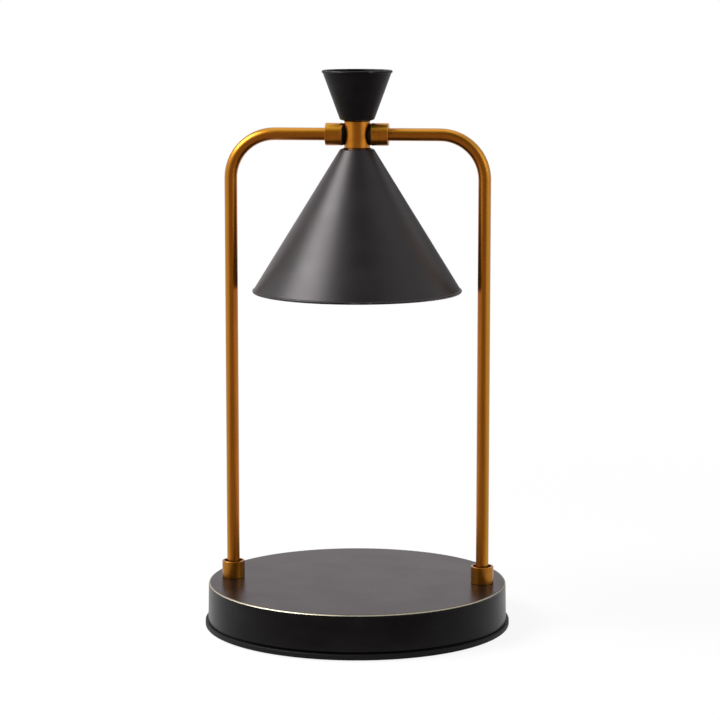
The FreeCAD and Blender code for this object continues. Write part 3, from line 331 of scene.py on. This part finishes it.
def moulded_plastic(name, base, scuffed, roughness):
    """Moulded plastic with a fine spark-eroded skin and a few scuffs."""
    made, n = material(name)
    skin = n.clouds(0.3 * MM, 2)
    flow = n.clouds((30 * MM, 30 * MM, 8 * MM), 2)
    scuffs = n.fade(n.clouds((12 * MM, 1.2 * MM, 4 * MM), 4), 0.6, 0.75)
    colour = n.tint(flow * 0.3 + scuffs * 0.5, base, scuffed)
    gloss = roughness + flow * 0.1 + scuffs * 0.1
    relief = n.relief(skin, 0.012 * MM)
    n.surface(base_color=colour, roughness=gloss, specular_ior_level=0.1, normal=relief)
    return made


def pressed_fibre():
    """Black vulcanised fibre: short tangled hairs under a matt skin."""
    made, n = material("black_fibre")
    hairs = n.clouds((0.15 * MM, 1.1 * MM, 0.3 * MM), 4)
    cross_hairs = n.clouds((0.3 * MM, 0.2 * MM, 1.2 * MM), 4)
    tangle = n.calculate("MAXIMUM", hairs, cross_hairs)
    colour = n.tint(n.fade(tangle, 0.5, 0.75), FIBRE_BLACK, FIBRE_LOOSE)
    gloss = 0.62 + tangle * 0.2
    relief = n.relief(tangle, 0.02 * MM)
    n.surface(base_color=colour, roughness=gloss, specular_ior_level=0.1, normal=relief)
    return made


def rubber():
    """Black rubber with a grey bloom in patches."""
    made, n = material("rubber_foot")
    bloom = n.fade(n.clouds(3 * MM, 4), 0.45, 0.72)
    grain = n.clouds(0.25 * MM, 2)
    colour = n.tint(bloom, RUBBER_DARK, RUBBER_DUSTY)
    n.surface(base_color=colour, roughness=0.72 + bloom * 0.18, normal=n.relief(grain, 0.02 * MM))
    return made


def cast_iron():
    """Sand-cast iron: pitted skin with darker hollows."""
    made, n = material("cast_iron")
    sand = n.clouds(1.1 * MM, 5)
    scale = n.clouds(14 * MM, 3)
    colour = n.tint(sand * 0.6 + scale * 0.4, IRON_DARK, IRON_LIGHT)
    skin = n.relief(sand, 0.25 * MM)
    n.surface(base_color=colour, roughness=0.55 + scale * 0.25, metallic=0.7, normal=skin)
    return made


def plated_metal(name, bright, dull, streaks, roughness):
    """Plated metal: slight drawing lines, a spangle of lighter and duller patches."""
    made, n = material(name)
    lines = n.clouds(streaks, 3)
    spangle = n.clouds(2.4 * MM, 3)
    dullness = n.fade(spangle, 0.35, 0.7) * 0.6 + lines * 0.4
    gloss = roughness + dullness * 0.16
    colour = n.tint(dullness, bright, dull)
    n.surface(base_color=colour, roughness=gloss, metallic=1, normal=n.relief(lines, 0.006 * MM))
    return made


def fired_clay(name, base, tinged):
    """Unglazed ceramic: fine pores and a warmer tinge in places."""
    made, n = material(name)
    pores = n.clouds(0.35 * MM, 3)
    tinge = n.fade(n.clouds((6 * MM, 6 * MM, 3 * MM), 3), 0.4, 0.72)
    pits = n.fade(pores, 0.36, 0.26)
    colour = n.tint(pits * 0.5, n.tint(tinge, base, tinged), CERAMIC_PORE)
    skin = n.relief(pores, 0.03 * MM)
    n.surface(base_color=colour, roughness=0.58 + tinge * 0.15, specular_ior_level=0.4, normal=skin)
    return made


def braided_sleeve():
    """Glass-fibre braid over the lead: two sets of strands that cross."""
    made, n = material("braided_sleeve")
    place = n.place()
    strands = []
    for lean in (0.7, -0.7):
        turned = n.node("Mapping", inputs={"Vector": place, "Rotation": (lean, lean, 0)})
        wave = {"Vector": turned, "Scale": 420, "Distortion": 0.6, "Detail": 1}
        strands.append(n.node("TexWave", {"bands_direction": "Z"}, wave, output="Fac"))
    weave = n.calculate("MAXIMUM", *strands)
    fluff = n.clouds(0.3 * MM, 3)
    # Painted shade: the gaps between the strands take the darker colour.
    colour = n.tint(weave * 0.75 + fluff * 0.25, SLEEVE_GAP, SLEEVE_WHITE)
    n.surface(base_color=colour, roughness=0.6 + fluff * 0.25, normal=n.relief(weave, 0.06 * MM))
    return made


def mirror_coat():
    """Vapour-coated inside of the reflector: bright, with a faint tinge that drifts over the facets."""
    made, n = material("mirror_coat")
    haze = n.clouds((7 * MM, 7 * MM, 5 * MM), 3)
    dimples = n.clouds(0.7 * MM, 1)
    colour = n.tint(haze, MIRROR_COAT, MIRROR_TINGED)
    skin = n.relief(dimples, 0.004 * MM)
    n.surface(base_color=colour, roughness=0.07 + haze * 0.08, metallic=1, normal=skin)
    return made


def pressed_glass_back():
    """Outside of the reflector: pressed glass with the coating showing through."""
    made, n = material("pressed_glass_back")
    flow = n.clouds((9 * MM, 9 * MM, 4 * MM), 3)
    colour = n.tint(flow, COATED_GLASS_BLUE, COATED_GLASS_PALE)
    skin = n.relief(flow, 0.05 * MM)
    n.surface(base_color=colour, roughness=0.12 + flow * 0.12, metallic=0.55, coat_weight=0.6, normal=skin)
    return made


def clear_glass(name, stipple, depth):
    """Clear glass whose skin is slightly uneven."""
    made, n = material(name)
    unevenness = n.clouds(stipple, 1)
    film = n.clouds(8 * MM, 2)
    colour = n.tint(film, CLEAR_GLASS, GLASS_FILM)
    gloss = 0.02 + film * 0.05
    skin = n.relief(unevenness, depth)
    n.surface(base_color=colour, roughness=gloss, transmission_weight=1, ior=1.48, normal=skin)
    return made


# ---- shapes ------------------------------------------------------------------------------------------


def spin(shape, geom, angle, steps, rise=ORIGIN, merged=False):
    """Turns corners and edges about the upright axis, with that rise at each step."""
    bmesh.ops.spin(
        shape,
        geom=geom,
        cent=ORIGIN,
        axis=UP,
        dvec=rise,
        angle=angle,
        steps=steps,
        use_merge=merged,
    )


def lathe(shape, profile, steps, closed=False):
    """Turns a profile of (radius, height) corners about the upright axis."""
    corners = [shape.verts.new((radius, 0, height)) for radius, height in profile]
    pairs = list(zip(corners, corners[1:]))
    if closed:
        pairs.append((corners[-1], corners[0]))
    edges = [shape.edges.new(pair) for pair in pairs]
    spin(shape, corners + edges, FULL_TURN, steps, merged=True)
    bmesh.ops.remove_doubles(shape, verts=shape.verts, dist=SAME_CORNER)
    bmesh.ops.recalc_face_normals(shape, faces=shape.faces)


def cut(shape, place, direction, clear=False):
    """Cuts all faces along a plane, and clears what lies beyond it if asked."""
    everything = list(shape.verts) + list(shape.edges) + list(shape.faces)
    return bmesh.ops.bisect_plane(
        shape,
        geom=everything,
        dist=CUT_TOLERANCE,
        plane_co=place,
        plane_no=direction,
        clear_outer=clear,
    )


def cut_off(shape, place, direction):
    """Cuts off what lies beyond a plane and closes the cut."""
    cut_edges = cut(shape, place, direction, clear=True)["geom_cut"]
    rim = [item for item in cut_edges if isinstance(item, bmesh.types.BMEdge)]
    bmesh.ops.holes_fill(shape, edges=rim)


def hex_nut(bore, width, foot, height, turn=0.0):
    """A hexagon nut with its corners eased at both faces and its bore countersunk."""
    nut = bmesh.new()
    flat = width / 2
    corner = flat / math.cos(math.pi / 6)
    face = flat * 0.97
    ease = (corner - flat) * 0.6
    countersink = 0.25 * MM
    top = foot + height
    profile = [
        (bore, foot + countersink),
        (bore + countersink, foot),
        (face, foot),
        (corner, foot + ease),
        (corner, top - ease),
        (face, top),
        (bore + countersink, top),
        (bore, top - countersink),
    ]
    lathe(nut, profile, 72, closed=True)
    for side in range(6):
        out = Matrix.Rotation(turn + side * math.pi / 3, 3, "Z") @ Vector((1, 0, 0))
        cut_off(nut, out * flat, out)
    return nut


def threaded_rod(radius, pitch, foot, top):
    """A solid rod with a real helical thread, cut square at both ends."""
    rod = bmesh.new()
    steps = 24
    turns = math.ceil((top - foot) / pitch) + 3
    corners = []
    for turn in range(turns):
        crest = foot + (turn - 2) * pitch
        corners.append(rod.verts.new((radius, 0, crest)))
        corners.append(rod.verts.new((radius - THREAD_DEPTH * pitch, 0, crest + pitch / 2)))
    edges = [rod.edges.new(pair) for pair in zip(corners, corners[1:])]
    spin(rod, corners + edges, FULL_TURN, steps, rise=UP * (pitch / steps))
    bmesh.ops.remove_doubles(rod, verts=rod.verts, dist=2 * SAME_CORNER)
    cut_off(rod, UP * foot, -UP)
    cut_off(rod, UP * top, UP)
    bmesh.ops.recalc_face_normals(rod, faces=rod.faces)
    return rod


def cross_recess_screw(head_radius, head_height, rod_radius, length, pitch):
    """A pan-head screw with a cross recess. The head's foot is at the origin and its shaft points down."""
    screw = bmesh.new()
    rim = 0.55 * head_radius
    eased = 0.1 * MM
    profile = [
        (0, head_height),
        (rim, head_height * 0.985),
        (head_radius * 0.8, head_height * 0.9),
        (head_radius * 0.95, head_height * 0.68),
        (head_radius, head_height * 0.4),
        (head_radius, eased),
        (head_radius - eased, 0),
        (0, 0),
    ]
    lathe(screw, profile, 40)
    half_slot = 0.17 * head_radius
    for direction in (Vector((1, 0, 0)), Vector((0, 1, 0))):
        for side in (-1, 1):
            cut(screw, direction * half_slot * side, direction)
    cross = []
    for face in screw.faces:
        at = face.calc_center_median()
        in_slot = min(abs(at.x), abs(at.y)) < half_slot
        if in_slot and at.z > head_height * 0.9 and at.xy.length < rim:
            cross.append(face)
    sunk = bmesh.ops.extrude_face_region(screw, geom=cross)
    bmesh.ops.delete(screw, geom=cross, context="FACES")
    floor = [item for item in sunk["geom"] if isinstance(item, bmesh.types.BMVert)]
    bmesh.ops.translate(screw, verts=floor, vec=UP * -0.62 * head_height)
    bmesh.ops.scale(screw, verts=floor, vec=(0.62, 0.62, 1))
    join(screw, threaded_rod(rod_radius, pitch, -length, 0.05 * MM))
    bmesh.ops.recalc_face_normals(screw, faces=screw.faces)
    return screw


def join(shape, other, matrix=None):
    """Adds another shape, moved by matrix, to this one, and frees the other."""
    held = bpy.data.meshes.new("held")
    other.to_mesh(held)
    other.free()
    if matrix:
        held.transform(matrix)
    shape.from_mesh(held)
    bpy.data.meshes.remove(held)


def corners_of_square(offset, height):
    """Four places at the same height, each at that offset from both upright middle planes."""
    return [(x, y, height) for x in (-offset, offset) for y in (-offset, offset)]


def repeated(shape, places):
    """The same shape at several places, as one."""
    whole = bmesh.new()
    for place in places:
        join(whole, shape.copy(), Matrix.Translation(place))
    shape.free()
    return whole


def piece(name, shape, finishes, body, replaced=(), smooth_below=math.radians(32)):
    """Makes the shape an object of the scene that moves with its body."""
    mesh = bpy.data.meshes.new(name)
    for face in shape.faces:
        face.smooth = True
    shape.to_mesh(mesh)
    shape.free()
    mesh.set_sharp_from_angle(angle=smooth_below)
    for finish in finishes:
        mesh.materials.append(finish)
    made = bpy.data.objects.new(name, mesh)
    bpy.context.scene.collection.objects.link(made)
    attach(made, body)
    if replaced:
        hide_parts(*replaced)
    return made


# ---- the object's own pieces -------------------------------------------------------------------------


def rubber_feet(finish):
    """Four rubber feet, each with a ring that grips and a shallow hollow inside it."""
    low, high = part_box("foot_pads")
    thickness = high.z - low.z
    radius = 6.0 * MM
    hollow = 0.45 * MM
    foot = bmesh.new()
    profile = [
        (0, hollow),
        (2.6 * MM, hollow),
        (3.0 * MM, 0.30 * MM),
        (3.3 * MM, 0),
        (5.3 * MM, 0),
        (5.75 * MM, 0.12 * MM),
        (radius, 0.45 * MM),
        (radius, thickness),
        (0, thickness),
    ]
    lathe(foot, profile, 48)
    feet = repeated(foot, corners_of_square(high.x - radius, low.z))
    piece("rubber_feet", feet, [finish], "stand", ["foot_pads"])


def cover_screws(finish):
    """The four screws that hold the cover, their heads in the cover's wells."""
    low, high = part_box("cover_screws")
    head_radius = 2.8 * MM
    head_height = 1.8 * MM
    rod_length = high.z - low.z - head_height
    rod_radius = 1.5 * MM
    screw = cross_recess_screw(head_radius, head_height, rod_radius, rod_length, pitch=0.7 * MM)
    bmesh.ops.rotate(screw, verts=screw.verts, matrix=Matrix.Rotation(math.pi, 3, "X"))
    screws = repeated(screw, corners_of_square(high.x - head_radius, low.z + head_height))
    piece("cross_recess_cover_screws", screws, [finish], "stand", ["cover_screws"])


def holder_screws(finish):
    """The two screws that hold the lamp holder in its strap."""
    low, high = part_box("holder_screws")
    head_radius = 2.2 * MM
    head_height = 1.4 * MM
    rod_length = high.z - low.z - head_height
    rod_radius = 1.25 * MM
    screw = cross_recess_screw(head_radius, head_height, rod_radius, rod_length, pitch=0.5 * MM)
    offset = high.x - head_radius
    screws = repeated(screw, [(x, 0, high.z - head_height) for x in (-offset, offset)])
    piece("cross_recess_holder_screws", screws, [finish], "head", ["holder_screws"])


def finial_fasteners(finish):
    """The stud with its slim tip, and the nut that holds the finial."""
    low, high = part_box("stop_stud")
    thread_radius = 2.0 * MM
    tip_radius = 0.6 * MM
    neck_radius = 1.55 * MM
    stud = threaded_rod(thread_radius, 0.7 * MM, low.z + 2.2 * MM, high.z)
    tip = bmesh.new()
    profile = [
        (0, low.z),
        (tip_radius, low.z),
        (tip_radius, low.z + 0.85 * MM),
        (neck_radius, low.z + 2.0 * MM),
        (neck_radius, low.z + 2.6 * MM),
        (0, low.z + 2.6 * MM),
    ]
    lathe(tip, profile, 24)
    join(stud, tip)
    piece("threaded_stud", stud, [finish], "head", ["stop_stud"])
    low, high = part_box("finial_nut")
    nut = hex_nut(thread_radius, high.y - low.y, low.z, high.z - low.z, math.pi / 2)
    piece("chamfered_finial_nut", nut, [finish], "head", ["finial_nut"])


def shade_fasteners(finish):
    """The hollow threaded nipple and its two nuts, one above the strap's web and one below it."""
    low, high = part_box("shade_nipple")
    thread_radius = 4.0 * MM
    bore_radius = 2.8 * MM
    nipple = threaded_rod(thread_radius, 1.0 * MM, low.z, high.z)
    ends = [face for face in nipple.faces if abs(face.normal.z) > 0.99]
    bmesh.ops.delete(nipple, geom=ends, context="FACES_ONLY")
    bore = bmesh.new()
    lathe(bore, [(bore_radius, low.z), (bore_radius, high.z)], 32)
    join(nipple, bore)
    for height in (low.z, high.z):
        open_edges = [edge for edge in nipple.edges if edge.is_boundary]
        rims = [edge for edge in open_edges if abs(edge.verts[0].co.z - height) < 0.01 * MM]
        bmesh.ops.bridge_loops(nipple, edges=rims)
    bmesh.ops.recalc_face_normals(nipple, faces=nipple.faces)
    piece("threaded_nipple", nipple, [finish], "head", ["shade_nipple"])
    low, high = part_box("nipple_nuts")
    thickness = 3.0 * MM
    nuts = hex_nut(thread_radius, high.x - low.x, high.z - thickness, thickness)
    join(nuts, hex_nut(thread_radius, high.x - low.x, low.z, thickness))
    piece("chamfered_nipple_nuts", nuts, [finish], "head", ["nipple_nuts"])


def arc(shape, start, end, radius, steps, side):
    """Corners along the arc from start to end, in the plane of the upright axis, made by turning start."""
    chord = end - start
    across = Vector((chord.z, 0, -chord.x)).normalized() * side
    centre = (start + end) / 2 + across * math.sqrt(radius**2 - (chord.length / 2) ** 2)
    angle = 2 * math.asin(chord.length / 2 / radius) * side
    first = shape.verts.new(start)
    turned = bmesh.ops.spin(
        shape,
        geom=[first],
        cent=centre,
        axis=(0, 1, 0),
        dvec=ORIGIN,
        angle=angle,
        steps=steps,
        use_merge=False,
    )
    return first, turned["geom_last"][0]


def faceted_reflector(finish_inside, finish_outside):
    """The lamp's glass bowl: rows of flat facets inside, smooth outside."""
    low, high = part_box("lamp_reflector")
    wall = 1.2 * MM
    bowl_radius = 57.5 * MM
    neck = 10.5 * MM
    mouth = high.x
    rim_top = low.z + 2.6 * MM
    facet_rows = 9
    facets_round = 40
    bowl = bmesh.new()
    inner_neck = Vector((neck - wall, 0, high.z))
    inner_rim = Vector((mouth - wall, 0, rim_top))
    inner_top, inner_foot = arc(bowl, inner_neck, inner_rim, bowl_radius, facet_rows, -1)
    lip_inside = bowl.verts.new((mouth - wall, 0, low.z))
    lip_outside = bowl.verts.new((mouth, 0, low.z))
    outer_rim = Vector((mouth, 0, rim_top))
    outer_neck = Vector((neck, 0, high.z))
    outer_foot, outer_top = arc(bowl, outer_rim, outer_neck, bowl_radius, 16, 1)
    for pair in (
        (inner_foot, lip_inside),
        (lip_inside, lip_outside),
        (lip_outside, outer_foot),
        (outer_top, inner_top),
    ):
        bowl.edges.new(pair)
    spin(bowl, list(bowl.verts) + list(bowl.edges), FULL_TURN, facets_round, merged=True)
    bmesh.ops.recalc_face_normals(bowl, faces=bowl.faces)
    facets = []
    for face in bowl.faces:
        at = face.calc_center_median()
        if face.normal.z < -0.05 and face.normal.x * at.x + face.normal.y * at.y < 0:
            facets.append(face.index)
    made = piece(
        "faceted_reflector",
        bowl,
        [finish_outside, finish_inside],
        "bulb",
        ["lamp_reflector"],
        math.radians(25),
    )
    for index in facets:
        made.data.polygons[index].material_index = 1
        made.data.polygons[index].use_smooth = False


def straight_wire(shape, length, matrix):
    """Adds a straight wire of the filament's legs, along Z before the matrix turns it."""
    radius = 0.18 * MM
    bmesh.ops.create_cone(
        shape,
        cap_ends=True,
        segments=10,
        radius1=radius,
        radius2=radius,
        depth=length,
        matrix=matrix,
    )


def filament(finish):
    """Tungsten coil on the capsule's axis and the wires that hold it."""
    low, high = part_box("lamp_capsule")
    turns = 12
    steps = 16
    pitch = 0.36 * MM
    wire_radius = 0.11 * MM
    coil_radius = 0.75 * MM
    coil_foot = low.z + 4.2 * MM
    coil_top = coil_foot + turns * pitch
    coil = bmesh.new()
    start = Matrix.Translation((coil_radius, 0, coil_foot)) @ Matrix.Rotation(math.pi / 2, 4, "X")
    section = bmesh.ops.create_circle(coil, cap_ends=False, segments=8, radius=wire_radius, matrix=start)
    outline = section["verts"] + list(coil.edges)
    spin(coil, outline, FULL_TURN * turns, steps * turns, rise=UP * pitch / steps)
    bmesh.ops.holes_fill(coil, edges=[edge for edge in coil.edges if edge.is_boundary])
    legs_top = high.z - 9 * MM
    long_leg = 1.9 * MM
    for aside, foot in ((coil_radius, coil_top), (-long_leg, coil_foot)):
        length = legs_top - foot
        straight_wire(coil, length, Matrix.Translation((aside, 0, foot + length / 2)))
    crossing = Matrix.Translation((-long_leg / 2, 0, coil_foot)) @ Matrix.Rotation(math.pi / 2, 4, "Y")
    straight_wire(coil, long_leg + 1.5 * MM, crossing)
    bmesh.ops.recalc_face_normals(coil, faces=coil.faces)
    piece("lamp_filament", coil, [finish], "bulb")


def dress(finish, *nodes):
    """Gives solids of the frame their finish."""
    for node in nodes:
        for slot in NODES[node].material_slots:
            slot.material = finish


def dress_the_painted_pieces():
    shade_edges = [SHADE_RIM + 0.4 * MM, SHADE_TOP - 0.3 * MM]
    dress(black_paint("painted_shade", gloss=0.32, roughness=0.33, worn_heights=shade_edges), "shade")
    finial_edges = [FINIAL_RIM - 0.3 * MM, FINIAL_FOOT + 0.4 * MM]
    finial_paint = black_paint("painted_finial", gloss=0.09, roughness=0.33, worn_heights=finial_edges)
    dress(finial_paint, "finial_cone")
    dress(black_paint("painted_base", gloss=0.09, roughness=0.23, bright_line=True), "base_shell")


def dress_the_brass_pieces():
    dress(tube_brass(), "left_arm_tube", "right_arm_tube")
    turned_upright = {"streaks": (9 * MM, 9 * MM, 0.16 * MM), "patches": (7 * MM, 7 * MM, 3 * MM)}
    dress(brass("brass_hub", TURNED_BRASS, **turned_upright), "hub_barrel")
    ferrules = brass("brass_ferrule", FERRULE_BRASS, **turned_upright)
    dress(ferrules, "left_foot_collar", "right_foot_collar")
    turned_along_bar = {"streaks": (0.16 * MM, 9 * MM, 9 * MM), "patches": (3 * MM, 7 * MM, 7 * MM)}
    collars = brass("brass_collar", TURNED_BRASS, **turned_along_bar, highlight_tone=TURNED_PAINTED_HIGHLIGHT)
    dress(collars, "left_pivot_collar", "right_pivot_collar")


def dress_the_fittings(zinc):
    cover = moulded_plastic("moulded_cover", PLASTIC_BLACK, PLASTIC_SCUFFED, roughness=0.46)
    dress(cover, "bottom_cover", "cord_inlet_bush")
    dress(pressed_fibre(), "left_friction_washer", "right_friction_washer")
    dress(cast_iron(), "ballast_disc")
    dress(
        zinc,
        "grub_screws",
        "pivot_axle",
        "finial_washer",
        "shade_lock_washer",
        "holder_strap",
        "terminal_screws",
        "left_foot_washer",
        "right_foot_washer",
        "left_foot_nut",
        "right_foot_nut",
    )
    dress(moulded_plastic("moulded_terminal", IVORY, IVORY_SHADED, roughness=0.3), "terminal_block")
    drawn = (3 * MM, 0.2 * MM, 0.2 * MM)
    clamp_brass = plated_metal("clamp_brass", YELLOW_BRASS, YELLOW_BRASS_DULL, drawn, roughness=0.25)
    dress(clamp_brass, "terminal_clamps", "holder_contacts")
    dress(braided_sleeve(), "arm_lead", "head_lead")


def dress_the_lamp():
    dress(fired_clay("ceramic_holder", CERAMIC_WHITE, CERAMIC_TINGED), "holder_cap", "lamp_holder")
    dress(fired_clay("ceramic_lamp_base", IVORY, CERAMIC_TINGED), "lamp_base")
    drawn = (MM, MM, 0.1 * MM)
    dress(plated_metal("nickel_plate", NICKEL_BRIGHT, NICKEL_DULL, drawn, roughness=0.2), "lamp_pins")
    dress(clear_glass("stippled_lens", stipple=1.2 * MM, depth=0.03 * MM), "lamp_lens")
    dress(clear_glass("capsule_quartz", stipple=3 * MM, depth=0.02 * MM), "lamp_capsule")


def make_the_lamp():
    drawn = (0.3 * MM, 4 * MM, 0.3 * MM)
    zinc = plated_metal("zinc_plate", ZINC_BRIGHT, ZINC_DULL, drawn, roughness=0.26)
    dress_the_painted_pieces()
    dress_the_brass_pieces()
    dress_the_fittings(zinc)
    dress_the_lamp()
    rubber_feet(rubber())
    cover_screws(zinc)
    holder_screws(zinc)
    finial_fasteners(zinc)
    shade_fasteners(zinc)
    faceted_reflector(mirror_coat(), pressed_glass_back())
    filament(plated_metal("tungsten", TUNGSTEN, NICKEL_DULL, 0.1 * MM, roughness=0.4))


# ---- studio ------------------------------------------------------------------------------------------


def seen_by_eye(n):
    """1 for what the eye, a gloss or a glass looks at, and 0 for the light that falls on the object."""
    eye = n.node("LightPath", output="Is Camera Ray") + n.node("LightPath", output="Is Glossy Ray")
    return eye + n.node("LightPath", output="Is Transmission Ray")


def light_the_room():
    world = bpy.data.worlds.new("studio")
    bpy.context.scene.world = world
    n = Nodes(world)
    colour = n.tint(seen_by_eye(n), ROOM_LIGHT, WHITE)
    n.node("OutputWorld", inputs={"Surface": n.node("Background", inputs={"Color": colour})})


def stage_plane(name, width, depth, matrix, finish):
    """A flat rectangle of the studio, lying on the floor before the matrix moves it."""
    shape = bmesh.new()
    bmesh.ops.create_grid(shape, x_segments=1, y_segments=1, size=0.5)
    bmesh.ops.scale(shape, verts=shape.verts, vec=(width, depth, 1))
    mesh = bpy.data.meshes.new(name)
    shape.to_mesh(mesh)
    shape.free()
    mesh.transform(matrix)
    mesh.materials.append(finish)
    plane = bpy.data.objects.new(name, mesh)
    bpy.context.scene.collection.objects.link(plane)
    return plane


def floor():
    """Pale floor that keeps the object's shadow near it and turns plain white further out."""
    made, n = material("pale_floor")
    shadow_end = n.fade(n.from_axis(), 0.22, 0.75)
    plain = seen_by_eye(n) * (0.9 + shadow_end * 0.1)
    lit = n.node("BsdfDiffuse", inputs={"Color": PALE_FLOOR})
    white = n.node("Emission", inputs={"Color": WHITE, "Strength": 1})
    surface = n.node("MixShader", inputs={0: plain, 1: lit, 2: white})
    n.node("OutputMaterial", inputs={"Surface": surface})
    stage_plane("floor", 12, 12, Matrix.Identity(4), made)


def card(name, width, depth, matrix, colour):
    """A card that only reflections see."""
    made, n = material(name)
    glow = n.node("Emission", inputs={"Color": colour, "Strength": 1})
    n.node("OutputMaterial", inputs={"Surface": glow})
    plane = stage_plane(name, width, depth, matrix, made)
    for ray in ("camera", "diffuse", "transmission", "shadow", "volume_scatter"):
        setattr(plane, f"visible_{ray}", False)


def softbox(name, place, width, height, power):
    """A soft lamp that faces the middle of the object."""
    lamp = bpy.data.lights.new(name, "AREA")
    lamp.shape = "RECTANGLE"
    lamp.size = width
    lamp.size_y = height
    lamp.energy = power
    hung = bpy.data.objects.new(name, lamp)
    hung.location = place
    aim = OBJECT_MIDDLE - Vector(place)
    hung.rotation_euler = aim.to_track_quat("-Z", "Y").to_euler()
    hung.visible_camera = False
    bpy.context.scene.collection.objects.link(hung)


def studio():
    light_the_room()
    floor()
    softbox("key_softbox", (-1.106, -0.436, 1.25), width=1.0, height=0.7, power=36)
    softbox("fill_softbox", (1.5, -0.5, 0.8), width=0.5, height=1.0, power=3)
    softbox("top_softbox", (0.0, 0.3, 1.9), width=1.2, height=1.2, power=4)
    upright = Matrix.Rotation(math.pi / 2, 4, "X")
    high = Matrix.Translation((0.275, -1.0, 1.35)) @ upright
    card("high_card", 1.25, 1.5, high, CARD_BLACK)
    front = Matrix.Translation((0.1, -1.0, 0.3)) @ upright
    card("front_card", 1.6, 0.6, front, CARD_BROWN)
    low = Matrix.Translation((0.025, -0.55, 0.002))
    card("low_card", 1.05, 0.9, low, CARD_PALE_BROWN)
    beside = Matrix.Rotation(math.radians(-24), 4, "Z") @ Matrix.Translation((0, 1.5, 0.50)) @ upright
    card("right_card", 0.85, 0.65, beside, CARD_GREY)
    behind = Matrix.Translation((0, 3.0, 1.5)) @ upright
    card("back_card", 8.0, 3.0, behind, CARD_ROSE_WHITE)


def camera():
    """A long lens in front of the lamp, a little to its right and above its top."""
    lens = bpy.data.cameras.new("camera")
    lens.lens = 133.2
    lens.sensor_width = 36
    eye = bpy.data.objects.new("camera", lens)
    eye.location = (0.1591, -1.45, 0.3646)
    eye.rotation_euler = (math.radians(81.61), 0, math.radians(6.20))
    bpy.context.scene.collection.objects.link(eye)
    bpy.context.scene.camera = eye


make_the_lamp()
studio()
camera()
bpy.context.scene.view_settings.view_transform = "Standard"
